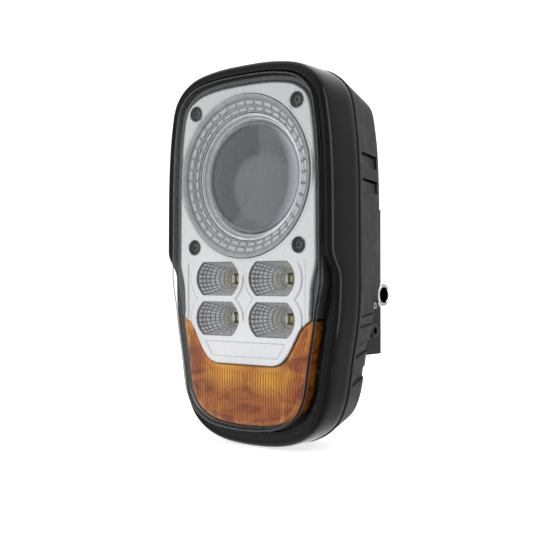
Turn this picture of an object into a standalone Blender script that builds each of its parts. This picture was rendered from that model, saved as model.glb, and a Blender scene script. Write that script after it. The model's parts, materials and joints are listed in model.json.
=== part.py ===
"""Combination headlight for a work vehicle, on a steel bracket that lets it tilt.

Row frame: the origin is on the bracket's flat back face, +Y points out of that face, the light
shines towards -Y and +Z is up. Dimensions below are millimetres (MM turns them into metres).
The head is drawn in lamp coordinates: y = 0 is the front of the light ring, y grows to the back.
"""

import math

import bmesh
import bpy
from mathutils import Matrix, Vector

MM = 0.001

# Lamp datum and pivot
BRACKET_BACK_Y = 104.0
BRACKET_MID_Z = -12.0
PIVOT_Y = 87.6
PIVOT_Z = -20.2

# Half outline of the head at its widest (x, z), joined by a smooth closed curve
HALF_OUTLINE = [
    (0, 141.2), (28, 140.0), (50, 134.6), (64.6, 121), (70, 99), (72.6, 66), (73.2, 20),
    (72.8, -28), (67.1, -65), (61.9, -94), (51.5, -112), (31, -122.8), (0, -125.8),
]
OUTLINE_CENTRE_Z = 10.0
OUTLINE_POINTS = 40

# Depths
RIDGE_Y = 37.0
NECK_Y = 23.4
FLOOR_Y = 67.5
CAVITY_Y = 64.0
BACK_Y_UPPER = 85.0
BACK_Y_LOWER = 68.6
TAPER = 0.275
LENS_Y = -0.2
LENS_DOME = 6.4
LENS_WALL = 2.0
CARRIER_Y = 26.0
CARRIER_THICK = 2.5
BOARD_THICK = 1.6

# Projector and light ring
PROJECTOR_Z = 63.0
RING_R = 57.0
RING_INNER_R = 45.1
GLASS_R = 39.4
COLLAR_R = 44.7

# Silver plate, reflector cups
TRIM_Y = 2.4
TRIM_THICK = 1.8
CUP_X = 24.2
CUP_Z = (-8.4, -36.6)
CUP_WIDE = 37.5
CUP_HIGH = 23.8
CUP_LEVELS = ((1.0, 4.6), (0.93, 9.5), (0.80, 14.5), (0.60, 19.5), (0.34, 24.2))
TRIM_SCREWS = {
    "upper_left": (-45.2, 111.1), "upper_right": (45.2, 111.1),
    "lower_left": (-46.5, 14.1), "lower_right": (46.5, 14.1),
}
CARRIER_SCREWS = {
    "upper_left": (-45, 97), "upper_right": (45, 97),
    "lower_left": (-44.5, -73), "lower_right": (44.5, -73),
}
BOARD_SCREWS = {
    "upper_left": (-40, 6), "upper_right": (40, 6),
    "lower_left": (-34, -83), "lower_right": (34, -83),
}

# Rear of the housing
SIDE_SLOTS = ((78, 0), (60, 0), (-33, 4), (-52, 8), (-70, 11))  # height, rise to the back in degrees
SLOT_HALF = 0.9
REAR_FINS = 7
REAR_FIN_PITCH = 13.0
EARTH_Y = 73.4
EARTH_Z = -27.6
VENT = (26.0, -58.0)
SOCKET_Z = (-46.0, -34.0)
TERMINAL_PITCH = 5.2
TERMINAL_ROWS = (-42.2, -37.8)

# Bracket and pivot
CHEEK_X = 50.0
PLATE = 3.0
BRACKET_TOP_Z = 43.0
BRACKET_BOTTOM_Z = -64.0
SLEEVE_R = 8.35
SLEEVE_BORE_R = 5.65
SLEEVE_HALF = 62.0
BUSH_R = 10.2
LUG_R = 12.6
LUG_X = (40.0, 46.3)
LOCK_Y = 86.0
LOCK_Z = -46.2
LOCK_SLOT = 7.0
WEB_HOLE_X = 33.0
WEB_HOLE_Z = (26.0, -52.0)
WEB_HOLE_R = 4.5
WINDOW_X = (-22.0, 22.0)
WINDOW_Z = (-52.0, -24.0)
TILT = math.radians(10)

LOOKS = {
    # name: (colour, roughness, metallic, transmission)
    "clear_plastic": ((0.92, 0.94, 0.95), 0.05, 0.0, 0.9),
    "glass": ((0.85, 0.88, 0.90), 0.03, 0.0, 0.9),
    "gloss_black": ((0.012, 0.012, 0.014), 0.12, 0.0, 0.0),
    "satin_black": ((0.030, 0.030, 0.031), 0.48, 0.0, 0.0),
    "bracket_black": ((0.010, 0.010, 0.010), 0.42, 0.0, 0.0),
    "dark_grey": ((0.055, 0.055, 0.060), 0.40, 0.0, 0.0),
    "silver": ((0.78, 0.78, 0.79), 0.32, 0.7, 0.0),
    "chrome": ((0.86, 0.87, 0.88), 0.08, 1.0, 0.0),
    "mirror_grey": ((0.62, 0.63, 0.64), 0.18, 1.0, 0.0),
    "steel": ((0.52, 0.52, 0.50), 0.34, 1.0, 0.0),
    "black_steel": ((0.020, 0.020, 0.020), 0.35, 0.6, 0.0),
    "aluminium": ((0.60, 0.61, 0.62), 0.42, 1.0, 0.0),
    "amber": ((0.90, 0.30, 0.05), 0.15, 0.0, 0.5),
    "rubber": ((0.015, 0.015, 0.015), 0.80, 0.0, 0.0),
    "board_white": ((0.80, 0.81, 0.79), 0.50, 0.0, 0.0),
    "board_green": ((0.02, 0.14, 0.06), 0.45, 0.0, 0.0),
    "nylon": ((0.72, 0.71, 0.66), 0.50, 0.0, 0.0),
    "brass": ((0.78, 0.58, 0.22), 0.28, 1.0, 0.0),
    "wire_red": ((0.35, 0.02, 0.02), 0.45, 0.0, 0.0),
    "wire_black": ((0.02, 0.02, 0.02), 0.45, 0.0, 0.0),
    "wire_yellow": ((0.60, 0.42, 0.03), 0.45, 0.0, 0.0),
}


# ---------------------------------------------------------------- scene and materials
def clear_scene():
    for obj in list(bpy.data.objects):
        bpy.data.objects.remove(obj, do_unlink=True)


def new_collection(name):
    group = bpy.data.collections.new(name)
    bpy.context.scene.collection.children.link(group)
    return group


def new_material(name):
    colour, roughness, metallic, transmission = LOOKS[name]
    look = bpy.data.materials.new(name)
    look.use_nodes = True
    shader = look.node_tree.nodes["Principled BSDF"]
    shader.inputs["Base Color"].default_value = (*colour, 1.0)
    shader.inputs["Roughness"].default_value = roughness
    shader.inputs["Metallic"].default_value = metallic
    shader.inputs["Transmission Weight"].default_value = transmission
    look.diffuse_color = (*colour, 1.0)
    return look


clear_scene()
PARTS = new_collection("combination_headlight")
CUTTERS = new_collection("cutters")
MATERIALS = {name: new_material(name) for name in LOOKS}


def new_empty(name, parent, location):
    empty = bpy.data.objects.new(name, None)
    PARTS.objects.link(empty)
    empty.parent = parent
    empty.location = Vector(location) * MM
    return empty


BRACKET = new_empty("bracket_base", None, (0, 0, 0))
HEAD = new_empty("lamp_head", BRACKET, (0, PIVOT_Y - BRACKET_BACK_Y, PIVOT_Z - BRACKET_MID_Z))
LAMP = new_empty("lamp_datum", HEAD, (0, -PIVOT_Y, -PIVOT_Z))
FIXED = new_empty("bracket_datum", BRACKET, (0, -BRACKET_BACK_Y, -BRACKET_MID_Z))


def place(name, mesh, look, parent=LAMP, smooth=35, location=(0, 0, 0)):
    """One named part from a mesh, with its material, parented and placed (location in mm)."""
    part = bpy.data.objects.new(name, mesh)
    mesh.materials.clear()
    mesh.materials.append(MATERIALS[look])
    mesh.shade_smooth()
    mesh.set_sharp_from_angle(angle=math.radians(smooth))
    PARTS.objects.link(part)
    part.parent = parent
    part.location = Vector(location) * MM
    return part


def finished(bm, name):
    """The mesh of a bmesh drawn in millimetres, in metres, with its faces pointing out."""
    bmesh.ops.recalc_face_normals(bm, faces=bm.faces)
    bmesh.ops.scale(bm, vec=(MM, MM, MM), verts=bm.verts)
    mesh = bpy.data.meshes.new(name)
    bm.to_mesh(mesh)
    bm.free()
    return mesh


def combine(part, tool_bm, operation):
    """Cuts a tool from a part, or joins it on, and keeps the tool in the cutters' collection."""
    name = part.name + "_" + operation.lower()
    tool = bpy.data.objects.new(name, finished(tool_bm, name))
    CUTTERS.objects.link(tool)
    tool.parent = part.parent
    tool.location = part.location
    tool.hide_render = True
    tool.display_type = "WIRE"
    boolean = part.modifiers.new(operation.lower(), "BOOLEAN")
    boolean.operation = operation
    boolean.object = tool


def cut(part, tool_bm):
    combine(part, tool_bm, "DIFFERENCE")


def join(part, tool_bm):
    combine(part, tool_bm, "UNION")


# ---------------------------------------------------------------- shapes
def ramp(value, low, high):
    """0 at low, 1 at high and smooth between."""
    t = min(max((value - low) / (high - low), 0.0), 1.0)
    return t * t * (3 - 2 * t)


def spline_point(points, index, t):
    """A point of the closed Catmull-Rom curve through the points."""
    a, b, c, d = (Vector(points[(index + k) % len(points)]) for k in (-1, 0, 1, 2))
    return 0.5 * (2 * b + (c - a) * t + (2 * a - 5 * b + 4 * c - d) * t ** 2
                  + (3 * b - a - 3 * c + d) * t ** 3)


def even_outline(count, steps=24):
    """Points at even spacing round the head's outline, from the top clockwise, with normals."""
    control = HALF_OUTLINE + [(-x, z) for x, z in reversed(HALF_OUTLINE[1:-1])]
    dense = [spline_point(control, i, s / steps) for i in range(len(control)) for s in range(steps)]
    travel = [0.0]
    for a, b in zip(dense, dense[1:] + dense[:1]):
        travel.append(travel[-1] + (b - a).length)
    points = []
    k = 0
    for i in range(count):
        wanted = travel[-1] * i / count
        while travel[k + 1] <= wanted:
            k += 1
        a, b = dense[k], dense[(k + 1) % len(dense)]
        point = a.lerp(b, (wanted - travel[k]) / (travel[k + 1] - travel[k]))
        tangent = (dense[(k + 2) % len(dense)] - dense[k - 1]).normalized()
        points.append((point, Vector((-tangent.y, tangent.x))))
    return points


OUTLINE = even_outline(OUTLINE_POINTS)


def value_at(value, z):
    return value(z) if callable(value) else value


def ring(inset, depth, shrink=1.0):
    """The outline moved in by inset and set at a depth; both may depend on the height z."""
    points = []
    for point, normal in OUTLINE:
        at = point - normal * value_at(inset, point.y)
        x = at.x * shrink
        z = OUTLINE_CENTRE_Z + (at.y - OUTLINE_CENTRE_Z) * shrink
        points.append(Vector((x, value_at(depth, point.y), z)))
    return points


def loft(rings, closed=False):
    """A closed surface through rings with equal counts; open chains get flat end caps."""
    bm = bmesh.new()
    loops = [[bm.verts.new(point) for point in points] for points in rings]
    pairs = list(zip(loops, loops[1:]))
    if closed:
        pairs.append((loops[-1], loops[0]))
    count = len(loops[0])
    for first, second in pairs:
        for i in range(count):
            j = (i + 1) % count
            bm.faces.new((first[i], first[j], second[j], second[i]))
    if not closed:
        bm.faces.new(loops[0])
        bm.faces.new(loops[-1])
    return bm


def prism_x(points, low, high):
    """A closed prism along X over an outline of (y, z) points."""
    return loft([[(x, y, z) for y, z in points] for x in (low, high)])


def prism_y(points, low, high):
    """A closed prism along Y over an outline of (x, z) points."""
    return loft([[(x, y, z) for x, z in points] for y in (low, high)])


def add_box(bm, x, y, z, turn=None):
    """A box between two values on each axis, turned about its own centre when turn is given."""
    centre = Vector(((x[0] + x[1]) / 2, (y[0] + y[1]) / 2, (z[0] + z[1]) / 2))
    size = (abs(x[1] - x[0]), abs(y[1] - y[0]), abs(z[1] - z[0]))
    matrix = Matrix.Translation(centre) @ (turn or Matrix()) @ Matrix.Diagonal((*size, 1))
    bmesh.ops.create_cube(bm, size=1, matrix=matrix)
    return bm


def add_rod(bm, axis, centre, radius, length, segments=16, radius_end=None):
    """A cylinder, or a cone, centred on a point, along an axis; radius_end is at the + end."""
    turn = Vector((0, 0, 1)).rotation_difference(Vector(axis)).to_matrix().to_4x4()
    bmesh.ops.create_cone(
        bm, cap_ends=True, segments=segments, radius1=radius,
        radius2=radius if radius_end is None else radius_end, depth=length,
        matrix=Matrix.Translation(Vector(centre)) @ turn)
    return bm


def box(x, y, z, turn=None):
    return add_box(bmesh.new(), x, y, z, turn)


def rod(axis, centre, radius, length, segments=16, radius_end=None):
    return add_rod(bmesh.new(), axis, centre, radius, length, segments, radius_end)


def turned(name, profile, look, location, steps=32, parent=LAMP, closed=True, axis="Y"):
    """A profile of (radius, forward) points spun about the light's axis, or about X."""
    mesh = bpy.data.meshes.new(name)
    count = len(profile)
    turns = zip(profile, profile[1:] + profile[:1])
    if sum(r1 * h2 - r2 * h1 for (r1, h1), (r2, h2) in turns) > 0:
        profile = profile[::-1]
    edges = [(i, (i + 1) % count) for i in range(count if closed else count - 1)]
    mesh.from_pydata([(r * MM, 0, h * MM) for r, h in profile], edges, [])
    part = place(name, mesh, look, parent, location=location)
    part.rotation_euler = (math.radians(90), 0, 0) if axis == "Y" else (0, math.radians(90), 0)
    screw = part.modifiers.new("spin", "SCREW")
    screw.steps = steps
    screw.render_steps = steps
    screw.use_merge_vertices = True
    screw.merge_threshold = 0.0001 * MM
    return part


def circle(centre, radius, count=24):
    return [(centre[0] + radius * math.cos(2 * math.pi * i / count),
             centre[1] + radius * math.sin(2 * math.pi * i / count)) for i in range(count)]


def plate(name, loops, thickness, y, look, parent=LAMP):
    """A flat plate in the XZ plane, y to y + thickness: its first loop is its edge, the rest holes."""
    curve = bpy.data.curves.new(name + "_outline", "CURVE")
    curve.dimensions = "2D"
    curve.fill_mode = "BOTH"
    curve.extrude = thickness / 2
    for loop in loops:
        spline = curve.splines.new("POLY")
        spline.points.add(len(loop) - 1)
        for point, (x, z) in zip(spline.points, loop):
            point.co = (x, z, 0, 1)
        spline.use_cyclic_u = True
    flat = bpy.data.objects.new(name + "_outline", curve)
    PARTS.objects.link(flat)
    graph = bpy.context.evaluated_depsgraph_get()
    mesh = bpy.data.meshes.new_from_object(flat.evaluated_get(graph))
    bpy.data.objects.remove(flat, do_unlink=True)
    bm = bmesh.new()
    bm.from_mesh(mesh)
    bpy.data.meshes.remove(mesh)
    bmesh.ops.remove_doubles(bm, verts=bm.verts, dist=0.001)
    bmesh.ops.transform(bm, matrix=Matrix.Rotation(math.radians(90), 4, "X"), verts=bm.verts)
    bmesh.ops.translate(bm, vec=(0, y + thickness / 2, 0), verts=bm.verts)
    return place(name, finished(bm, name), look, parent)


def flat_ring(inset, shrink=1.0):
    return [(point.x, point.z) for point in ring(inset, 0, shrink)]


# ---------------------------------------------------------------- outline depths and insets
def lens_inset(z):
    """How far the clear cover's wall stands inside the outline: less at the upper half."""
    lower = 3.2 * ramp(-z, 6, 34) + 1.8 * ramp(-z, 85, 118)
    return 7.0 + lower + 0.7 * ramp(z, 104, 136)


def front_y(z):
    """The front frame's leading edge, set back on the lower half to bare the cover's wall."""
    return 1.0 + 9.2 * ramp(-z, -11, 8)


def back_y(z):
    """The rear skirt's edge, shallower below the pivot."""
    return BACK_Y_LOWER + (BACK_Y_UPPER - BACK_Y_LOWER) * ramp(z, -62, -17)


def taper_inset(y):
    return 0.2 + (y - RIDGE_Y - 2.5) * TAPER


def trim_inset(z):
    return 11.9 + 2.0 * ramp(z, 104, 136) + 4.3 * ramp(-z, -6, 18)


def amber_inset(z):
    return lens_inset(z) + 3.9


# ---------------------------------------------------------------- covers and frames
def outer_lens():
    def edge(more):
        return lambda z: lens_inset(z) + more

    def dome(shrink, y):
        return ring(edge(1.0), y - LENS_DOME * (1 - shrink ** 5), shrink)

    steps = (0.4, 0.75, 0.92)
    outer = [dome(s, LENS_Y) for s in steps] + [ring(edge(1.0), LENS_Y), ring(edge(0.2), 0.5)]
    wall = [ring(edge(0), 1.8), ring(edge(-0.4), 18.6), ring(4.6, 18.6), ring(4.6, 20.8),
            ring(edge(1.8), 20.8), ring(edge(2.0), 4.0), ring(edge(2.6), LENS_Y + LENS_WALL + 0.4)]
    inner = [dome(s, LENS_Y + LENS_WALL) for s in reversed(steps)]
    place("outer_lens", finished(loft(outer + wall + inner), "outer_lens"), "clear_plastic")


def front_frame():
    def depth(more):
        return lambda z: front_y(z) + more

    section = [
        ring(2.6, depth(0)), ring(0.9, depth(1.6)), ring(0, depth(7)), ring(0.2, RIDGE_Y - 0.4),
        ring(3.4, RIDGE_Y - 0.4), ring(3.4, 18.2), ring(lambda z: lens_inset(z) - 0.8, 18.2),
        ring(lambda z: lens_inset(z) - 0.8, depth(0.6)),
    ]
    place("front_frame", finished(loft(section, closed=True), "front_frame"), "gloss_black")


def lens_gasket():
    section = [ring(4.9, 21.1), ring(7.0, 21.1), ring(7.0, 23.1), ring(4.9, 23.1)]
    place("lens_gasket", finished(loft(section, closed=True), "lens_gasket"), "rubber")


def border_frame():
    """Dark frame between the silver plate and the cover; open below, where the amber optic is."""
    def outer(z):
        return lens_inset(z) + 2.4

    def inner(z):
        return max(trim_inset(z) - 0.6, lens_inset(z) + 3.4)

    section = [ring(outer, 4.6), ring(outer, 20.0), ring(inner, 20.0), ring(inner, 4.6)]
    part = place("border_frame", finished(loft(section, closed=True), "border_frame"), "dark_grey")
    cut(part, box((-90, 90), (0, 40), (-140, -35)))


# ---------------------------------------------------------------- silver plate and light ring
def cup_outline(centre, grow=0.0, count=5):
    """A cup's mouth: flat above and below, bowed at both sides."""
    half_wide = CUP_WIDE / 2 + grow
    half_high = CUP_HIGH / 2 + grow
    side = []
    for i in range(count):
        z = half_high * (1 - 2 * i / (count - 1))
        side.append((half_wide - 6.5 * (abs(z) / half_high) ** 2.2, z))
    loop = side + [(-x, z) for x, z in reversed(side)]
    return [(centre[0] + x, centre[1] + z) for x, z in loop]


def cup_centres():
    return {
        "upper_left": (-CUP_X, CUP_Z[0]), "upper_right": (CUP_X, CUP_Z[0]),
        "lower_left": (-CUP_X, CUP_Z[1]), "lower_right": (CUP_X, CUP_Z[1]),
    }


def trim_edge():
    """The silver plate's edge: the outline above, and a tongue with rounded corners below."""
    body = [(x, z) for x, z in flat_ring(trim_inset) if z > -33]
    right = [point for point in body if point[0] > 0.001]
    tongue = [(56.4, -36.4), (52.2, -38.6), (48, -42.2), (38.4, -59.2), (32.5, -65.6), (26, -68.0)]
    half = right + tongue
    top = [point for point in body if abs(point[0]) <= 0.001]
    return top + half + [(-x, z) for x, z in reversed(half)]


def silver_trim():
    holes = [circle((0, PROJECTOR_Z), RING_R + 0.5, 40)]
    holes += [cup_outline(centre) for centre in cup_centres().values()]
    holes += [circle(centre, 5.6, 16) for centre in TRIM_SCREWS.values()]
    plate("silver_trim", [trim_edge()] + holes, TRIM_THICK, TRIM_Y, "silver")


def screw(name, centre, y, look, head_r=3.0, head=2.0, shank_r=1.5, shank=8.0, steps=8):
    """A pan-head screw driven from the front, its head's front at y."""
    profile = [(0.0, 0.0), (head_r * 0.8, -0.3), (head_r, -0.9), (head_r, -head),
               (shank_r, -head), (shank_r, -head - shank), (0.0, -head - shank)]
    return turned(name, profile, look, (centre[0], y, centre[1]), steps=steps, closed=False)


def trim_screws():
    for corner, centre in TRIM_SCREWS.items():
        screw("trim_screw_" + corner, centre, 3.6, "black_steel", head_r=3.3, head=2.2, shank_r=1.3,
              shank=9.0, steps=12)


def ring_guide():
    """Clear ring, a funnel that is deeper at its inner edge, with a raised rim outside."""
    profile = [(RING_R, -0.9), (RING_R, -6.5), (RING_INNER_R, -12.2), (RING_INNER_R, -9.0),
               (46.0, -8.2), (52.8, -3.8), (53.4, -2.6), (56.4, -0.6)]
    turned("ring_guide", profile, "clear_plastic", (0, 0, PROJECTOR_Z), steps=40)


def ring_board():
    loops = [circle((0, PROJECTOR_Z), 56.4, 32), circle((0, PROJECTOR_Z), RING_INNER_R + 0.6, 32)]
    part = plate("ring_board", loops, BOARD_THICK, 13.4, "board_white")
    chips = bmesh.new()
    for i in range(12):
        angle = 2 * math.pi * (i + 0.5) / 12
        x = 51 * math.cos(angle)
        z = PROJECTOR_Z + 51 * math.sin(angle)
        turn = Matrix.Rotation(-angle, 4, "Y")
        add_box(chips, (x - 1.4, x + 1.4), (12.2, 14.0), (z - 1.4, z + 1.4), turn)
    join(part, chips)


# ---------------------------------------------------------------- projector
def projector_glass():
    rise = 12.6
    dome = []
    for i in range(9):
        angle = math.radians(90 - 90 * i / 8)
        dome.append((GLASS_R * math.cos(angle), -13.9 + rise * math.sin(angle)))
    profile = dome + [(41.1, -13.9), (41.1, -16.4), (0.0, -16.4)]
    turned("projector_glass", profile, "glass", (0, 0, PROJECTOR_Z), steps=32, closed=False)


def projector_collar():
    profile = [(43.6, -9.2), (COLLAR_R, -9.2), (COLLAR_R, -13.4), (39.9, -13.4)]
    turned("projector_collar", profile, "chrome", (0, 0, PROJECTOR_Z), steps=32)


def projector_holder():
    profile = [(41.6, -13.8), (44.4, -13.8), (44.4, -22.0), (50.0, -22.0), (50.0, -25.6),
               (44.0, -25.6), (38.5, -43.0), (36.0, -43.0), (38.2, -26.0), (38.2, -16.9),
               (41.6, -16.9)]
    turned("projector_holder", profile, "aluminium", (0, 0, PROJECTOR_Z), steps=28)


def projector_bowl():
    """Half of an ellipsoid: a shell open to the front and below, over the light chip."""
    bm = bmesh.new()
    rows = 5
    columns = 10
    grid = []
    for i in range(rows):
        t = math.radians(12 + 68 * i / (rows - 1))
        radius = 33.5 * math.sin(t)
        y = 62.0 - 15.8 * (1 - math.cos(t)) / (1 - math.cos(math.radians(80)))
        grid.append([bm.verts.new((radius * math.cos(math.pi * j / columns), y,
                                   PROJECTOR_Z + radius * math.sin(math.pi * j / columns)))
                     for j in range(columns + 1)])
    for low, high in zip(grid, grid[1:]):
        for j in range(columns):
            bm.faces.new((low[j], low[j + 1], high[j + 1], high[j]))
    part = place("projector_bowl", finished(bm, "projector_bowl"), "mirror_grey")
    shell = part.modifiers.new("thickness", "SOLIDIFY")
    shell.thickness = 1.2 * MM
    shell.offset = 0
    shell.use_even_offset = True


def cutoff_shield():
    """Upright plate whose upper edge, with its step, shapes the edge of the low beam."""
    top = [(-30, 61.4), (-3, 61.4), (3, 58.8), (30, 58.8)]
    arc = [(34 * math.cos(math.radians(a)), PROJECTOR_Z + 34 * math.sin(math.radians(a)))
           for a in range(-20, -161, -20)]
    plate("cutoff_shield", [top + arc], 1.0, 43.4, "black_steel")


def low_beam_board():
    part = place("low_beam_board", finished(box((-16, 16), (46, 61), (58.8, 60.4)), "low_beam_board"),
                 "board_white")
    join(part, box((-3, 3), (51.5, 56), (59.5, 61.4)))


def low_beam_heatsink():
    base = box((-17, 17), (46, 63.2), (54.5, 58.4))
    part = place("low_beam_heatsink", finished(base, "low_beam_heatsink"), "aluminium")
    fins = bmesh.new()
    for i in range(6):
        x = -15.8 + 6.32 * i
        add_box(fins, (x - 0.8, x + 0.8), (47, 62.4), (36, 55.5))
    join(part, fins)


# ---------------------------------------------------------------- high beam
def reflector_cups():
    """Four cups, each a shell that narrows from its mouth to the opening for the light chip."""
    for corner, (x, z) in cup_centres().items():
        mouth = [(px - x, pz - z) for px, pz in cup_outline((x, z), grow=-0.2)]
        bm = bmesh.new()
        loops = [[bm.verts.new((px * scale, y, pz * scale)) for px, pz in mouth]
                 for scale, y in CUP_LEVELS]
        count = len(mouth)
        for first, second in zip(loops, loops[1:]):
            for i in range(count):
                j = (i + 1) % count
                bm.faces.new((first[i], first[j], second[j], second[i]))
        name = "reflector_" + corner
        part = place(name, finished(bm, name), "mirror_grey", smooth=10, location=(x, 0, z))
        shell = part.modifiers.new("thickness", "SOLIDIFY")
        shell.thickness = 0.9 * MM
        shell.offset = 0
        shell.use_even_offset = True


def high_beam_board():
    """Board behind the four cups, inside the carrier's opening, with a light chip for each."""
    edge = [(-43, -2), (43, -2), (43, -46), (-43, -46)]
    part = plate("high_beam_board", [edge], BOARD_THICK, 25.4, "board_white")
    chips = bmesh.new()
    for x, z in cup_centres().values():
        add_box(chips, (x - 1.6, x + 1.6), (24.0, 26.0), (z - 1.6, z + 1.6))
    join(part, chips)


def high_beam_heatsink():
    base = box((-43, 43), (27.3, 32), (-46, -2))
    part = place("high_beam_heatsink", finished(base, "high_beam_heatsink"), "aluminium")
    fins = bmesh.new()
    for i in range(11):
        x = -40 + 8 * i
        add_box(fins, (x - 0.8, x + 0.8), (31, 44.5), (-44, -4))
    join(part, fins)


# ---------------------------------------------------------------- amber lights
def amber_optic():
    """Amber cover of the indicator: a dish that also lines both side walls of the clear cover."""
    def edge(more):
        return lambda z: amber_inset(z) + more

    rings = [ring(edge(1), 3.4, 0.75), ring(edge(1), 3.4), ring(edge(0), 4.4), ring(edge(0), 16.0),
             ring(edge(2), 16.0), ring(edge(2), 5.4), ring(edge(2), 5.4, 0.75)]
    part = place("amber_optic", finished(loft(rings), "amber_optic"), "amber")
    tongue = [(80, -35.8), (56.6, -36.9), (52.4, -39.1), (48.3, -42.7), (38.7, -59.8),
              (32.7, -66.2), (26, -68.6)]
    loop = tongue + [(-x, z) for x, z in reversed(tongue)] + [(-80, 150), (80, 150)]
    cut(part, prism_y(loop, 0, 7.0))
    cut(part, box((-90, 90), (6.8, 30), (-36.5, 150)))


def indicator_board():
    edge = [(-38, -54), (38, -54), (38, -88), (24, -100), (-24, -100), (-38, -88)]
    part = plate("indicator_board", [edge], BOARD_THICK, 17.0, "board_white")
    chips = bmesh.new()
    for row in range(2):
        for i in range(5):
            x = -26 + 13 * i
            z = -70 - 16 * row
            add_box(chips, (x - 1.8, x + 1.8), (15.6, 17.6), (z - 1.8, z + 1.8))
    join(part, chips)


# ---------------------------------------------------------------- inner carrier and electronics
def carrier_frame():
    holes = [circle((0, PROJECTOR_Z), 45.6, 32),
             [(-44, -1), (44, -1), (44, -47), (-44, -47)],
             [(-30, -62), (30, -62), (30, -92), (-30, -92)]]
    holes += [circle(centre, 2.3, 10) for centre in CARRIER_SCREWS.values()]
    part = plate("carrier_frame", [flat_ring(9.8)] + holes, CARRIER_THICK, CARRIER_Y, "dark_grey")
    posts = bmesh.new()
    for x, z in TRIM_SCREWS.values():
        add_rod(posts, (0, 1, 0), (x, 17.3, z), 3.6, 18.4, 12)
    for x in (-34, 34):
        add_box(posts, (x - 1.2, x + 1.2), (18.9, 27), (-88, -58))
    join(part, posts)
    wells = bmesh.new()
    for x, z in TRIM_SCREWS.values():
        add_rod(wells, (0, 1, 0), (x, 12.0, z), 1.6, 10.4, 10)
    cut(part, wells)


def carrier_screws():
    for corner, centre in CARRIER_SCREWS.items():
        screw("carrier_screw_" + corner, centre, CARRIER_Y - 2.3, "steel", head_r=3.6, head=2.0,
              shank_r=1.6, shank=9.0)


def driver_board():
    edge = [(-45, 12), (45, 12), (45, -65), (39, -67), (39, -89), (-39, -89), (-39, -67), (-45, -65)]
    holes = [circle(centre, 2.2, 10) for centre in BOARD_SCREWS.values()]
    part = plate("driver_board", [edge] + holes, BOARD_THICK, 53.6, "board_green")
    parts = bmesh.new()
    for x, z, wide, high, tall in (
            (-26, -20, 14, 14, 6), (-26, -42, 14, 14, 6), (4, -30, 12, 12, 2), (26, -20, 8, 16, 4),
            (26, -48, 16, 10, 3), (-4, -64, 18, 8, 5), (2, -4, 22, 6, 5)):
        add_box(parts, (x - wide / 2, x + wide / 2), (53.9 - tall, 54.2), (z - high / 2, z + high / 2))
    for x in (-34, -22, -10):
        add_rod(parts, (0, 1, 0), (x, 49.6, -4 if x < -20 else -52), 3.4, 9.0, 12)
    join(part, parts)


def board_screws():
    for corner, centre in BOARD_SCREWS.items():
        screw("board_screw_" + corner, centre, 51.2, "steel", head_r=3.2, head=2.0, shank_r=1.3,
              shank=7.0)


def wire(name, points, look):
    """A round wire through points, as a smooth run of short straight pieces."""
    path = [Vector(points[0])]
    for a, b, c in zip(points, points[1:], points[2:]):
        a, b, c = Vector(a), Vector(b), Vector(c)
        for t in (0.15, 0.5, 0.85):
            start = b.lerp(a, 0.4 * (1 - t))
            end = b.lerp(c, 0.4 * t)
            path.append(start.lerp(end, t))
    path.append(Vector(points[-1]))
    curve = bpy.data.curves.new(name, "CURVE")
    curve.dimensions = "3D"
    curve.bevel_depth = 0.9 * MM
    curve.bevel_resolution = 2
    curve.use_fill_caps = True
    spline = curve.splines.new("POLY")
    spline.points.add(len(path) - 1)
    for point, place_at in zip(spline.points, path):
        point.co = (*(place_at * MM), 1)
    part = bpy.data.objects.new(name, curve)
    curve.materials.append(MATERIALS[look])
    PARTS.objects.link(part)
    part.parent = LAMP


def wires():
    wire("wire_ring_light", [(47, 54.0, -4), (50, 46, 4), (52, 36, 22), (53.5, 29.5, 40)], "wire_red")
    wire("wire_low_beam", [(8, 52.4, 4), (8, 47.6, 18), (24, 52, 34), (24, 52, 54)], "wire_yellow")
    wire("wire_indicator", [(12, 53.0, -80), (12, 46, -82), (12, 34, -78), (12, 19.2, -78)],
         "wire_black")


# ---------------------------------------------------------------- rear housing
def housing_shell():
    def inset_back(more_y, more):
        return lambda z: taper_inset(back_y(z) + more_y) + more

    def depth_back(more_y):
        return lambda z: back_y(z) + more_y

    rings = [
        ring(13.0, CAVITY_Y), ring(10.6, CAVITY_Y - 2.5), ring(7.2, RIDGE_Y), ring(7.2, NECK_Y),
        ring(3.9, NECK_Y), ring(3.9, RIDGE_Y), ring(-0.2, RIDGE_Y), ring(0.2, RIDGE_Y + 2.5),
        ring(inset_back(-3, 0), depth_back(-3)), ring(inset_back(-0.8, 1.0), depth_back(-0.8)),
        ring(inset_back(0, 3.2), depth_back(0)), ring(18.0, depth_back(0)), ring(18.6, FLOOR_Y),
    ]
    return place("rear_housing", finished(loft(rings), "rear_housing"), "satin_black")


def side_slots():
    """Cooling slots in both tapered flanks, level above the pivot and rising to the back below."""
    bm = bmesh.new()
    lean = -math.atan(TAPER)
    for z, rise in SIDE_SLOTS:
        near = min(OUTLINE, key=lambda item: abs(item[0].y - z) + (item[0].x < 0) * 1000)
        surface = near[0].x - taper_inset(68) - 1.4
        for side in (-1, 1):
            turn = Matrix.Rotation(side * -lean, 4, "Z") @ Matrix.Rotation(math.radians(rise), 4, "X")
            x = side * (surface + 5)
            add_box(bm, (x - 5, x + 5), (52, 92), (z - SLOT_HALF, z + SLOT_HALF), turn)
    return bm


def lugs(housing):
    """Two ears behind the floor that carry the bushes above and the lock screws below."""
    for side in (-1, 1):
        low, high = sorted((side * LUG_X[0], side * LUG_X[1]))
        middle = (low + high) / 2
        width = high - low
        join(housing, box((low, high), (FLOOR_Y - 2, PIVOT_Y), (LOCK_Z - 7.5, PIVOT_Z + 10)))
        join(housing, rod((1, 0, 0), (middle, PIVOT_Y, PIVOT_Z), LUG_R, width - 0.2, 24))
        join(housing, rod((1, 0, 0), (middle, LOCK_Y, LOCK_Z), 7.4, width - 0.4, 16))


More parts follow.
